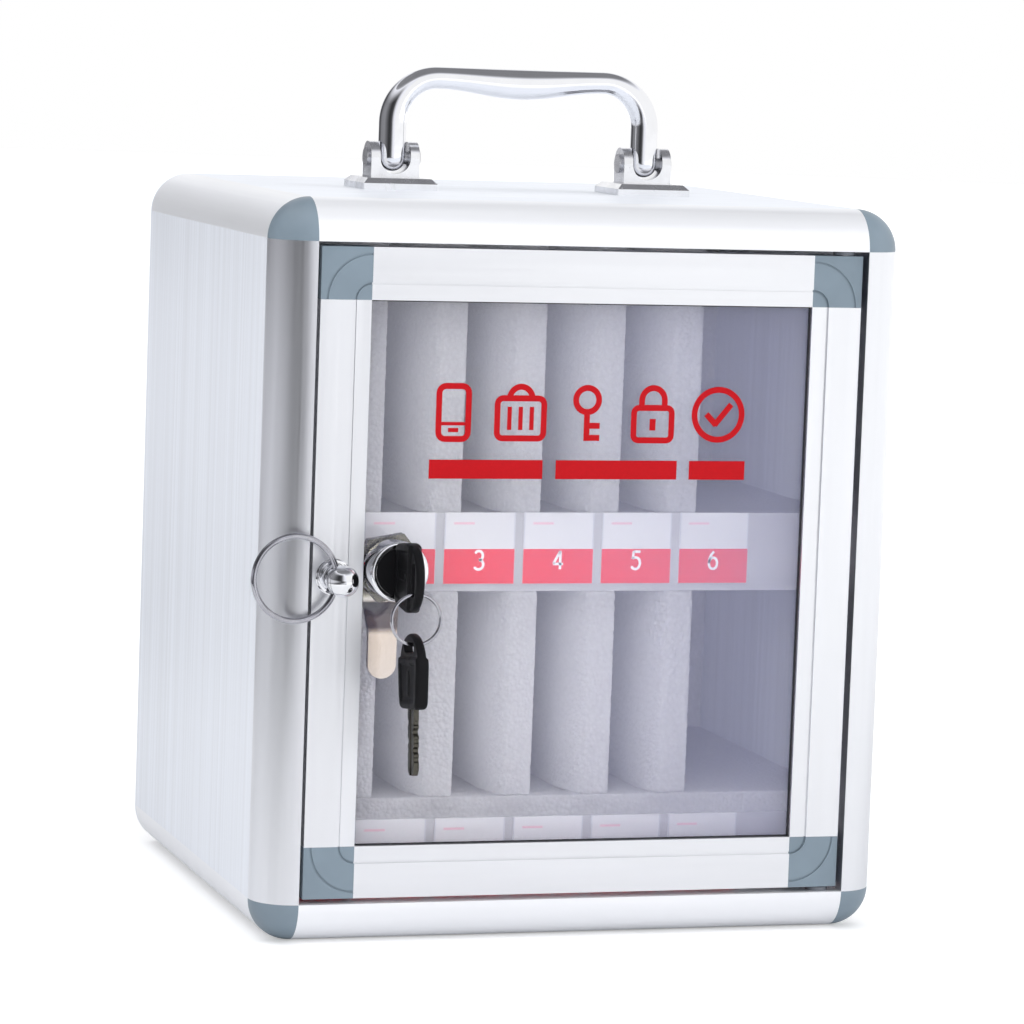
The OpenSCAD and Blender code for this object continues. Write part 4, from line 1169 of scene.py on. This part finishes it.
chrome, plastic, steel, key = bright_chrome(), black_plastic(), bare_steel(), key_metal()
dress_nodes(anodised("anodised_upright", 2), "front_post_left", "front_post_right")
dress_nodes(anodised("anodised_across", 0, metal=0.45), "front_rail_top", "front_rail_bottom")
dress_nodes(anodised("anodised_deep", 1, metal=0.3), "depth_rail_top_left", "depth_rail_top_right",
            "depth_rail_bottom_left", "depth_rail_bottom_right")
dress_nodes(anodised("door_anodised_upright", 2, DOOR_COLOUR, 0.36), "door_stile_left", "door_stile_right")
dress_nodes(anodised("door_anodised_across", 0, DOOR_COLOUR, 0.36), "door_rail_top", "door_rail_bottom")
dress_nodes(grey_plastic(), "corner_block_top_left", "corner_block_top_right",
            "corner_block_bottom_left", "corner_block_bottom_right", "door_corner_top_left",
            "door_corner_top_right", "door_corner_bottom_left", "door_corner_bottom_right")
dress_nodes(brushed_sheet(), "side_panel_left", "side_panel_right", "top_panel", "bottom_panel",
            "back_panel")
dress_nodes(shelf_white(), "shelf", "label_strip_lower", "label_strip_upper")
dress_nodes(card_paper(), "label_cards")
dress_nodes(clear_pane(), "pane")
dress_nodes(black_rubber(), "gasket")
dress_nodes(chrome, "knob", "lock_body")
dress_nodes(ring_wire(), "pull_ring", "key_ring")
dress_nodes(cast_chrome(), "handle_bracket_left", "handle_bracket_right")
dress_nodes(plastic, "lock_face")
dress_nodes(steel, "back_screws", "hinge_pins", "handle_screws", "handle_pins", "knob_screw",
            "lock_plug", "cam_screw")
dress_nodes(cam_plating(), "cam")
dress_nodes(nut_plating(), "lock_nut")
dress_nodes(bush_plastic(), "hinge_bushes")

dress(bead_foam(),
      foam_floor("foam_floor_lower", "foam_base_lower", FOOT_TOP, LOWER_FLOOR, SHELF_Z, 11, FOOT_BOX),
      foam_ribs("foam_dividers_lower", "foam_ribs_lower", LOWER_FLOOR, SHELF_Z, 20),
      foam_floor("foam_floor_upper", "foam_base_upper", UPPER_FOOT, UPPER_FLOOR, FOAM_TOP, 31),
      foam_ribs("foam_dividers_upper", "foam_ribs_upper", UPPER_FLOOR, FOAM_TOP, 40))
dress(chrome, make_bail())
red_fields, numbers, side_lines, writing_lines = make_cards()
dress(ink("card_red_ink", (0.82, 0.026, 0.052)), red_fields)
dress(ink("card_white_ink", (0.92, 0.92, 0.94)), numbers)
dress(ink("card_grey_ink", (0.52, 0.53, 0.60)), side_lines)
dress(ink("card_pink_ink", (0.80, 0.50, 0.58)), writing_lines)
dress(ink("pane_red_ink", (0.42, 0.002, 0.006)), make_pane_signs())
for number, hanging in ((1, False), (2, True)):
    dress(plastic, make_key_head(number, hanging))
    dress(key, make_key_blade(number, hanging))
knob_skin, lock_collar, keyway_guard = make_turned_skins()
dress(chrome, knob_skin, lock_collar)
dress(steel, keyway_guard)

bpy.context.scene.view_settings.view_transform = "Standard"
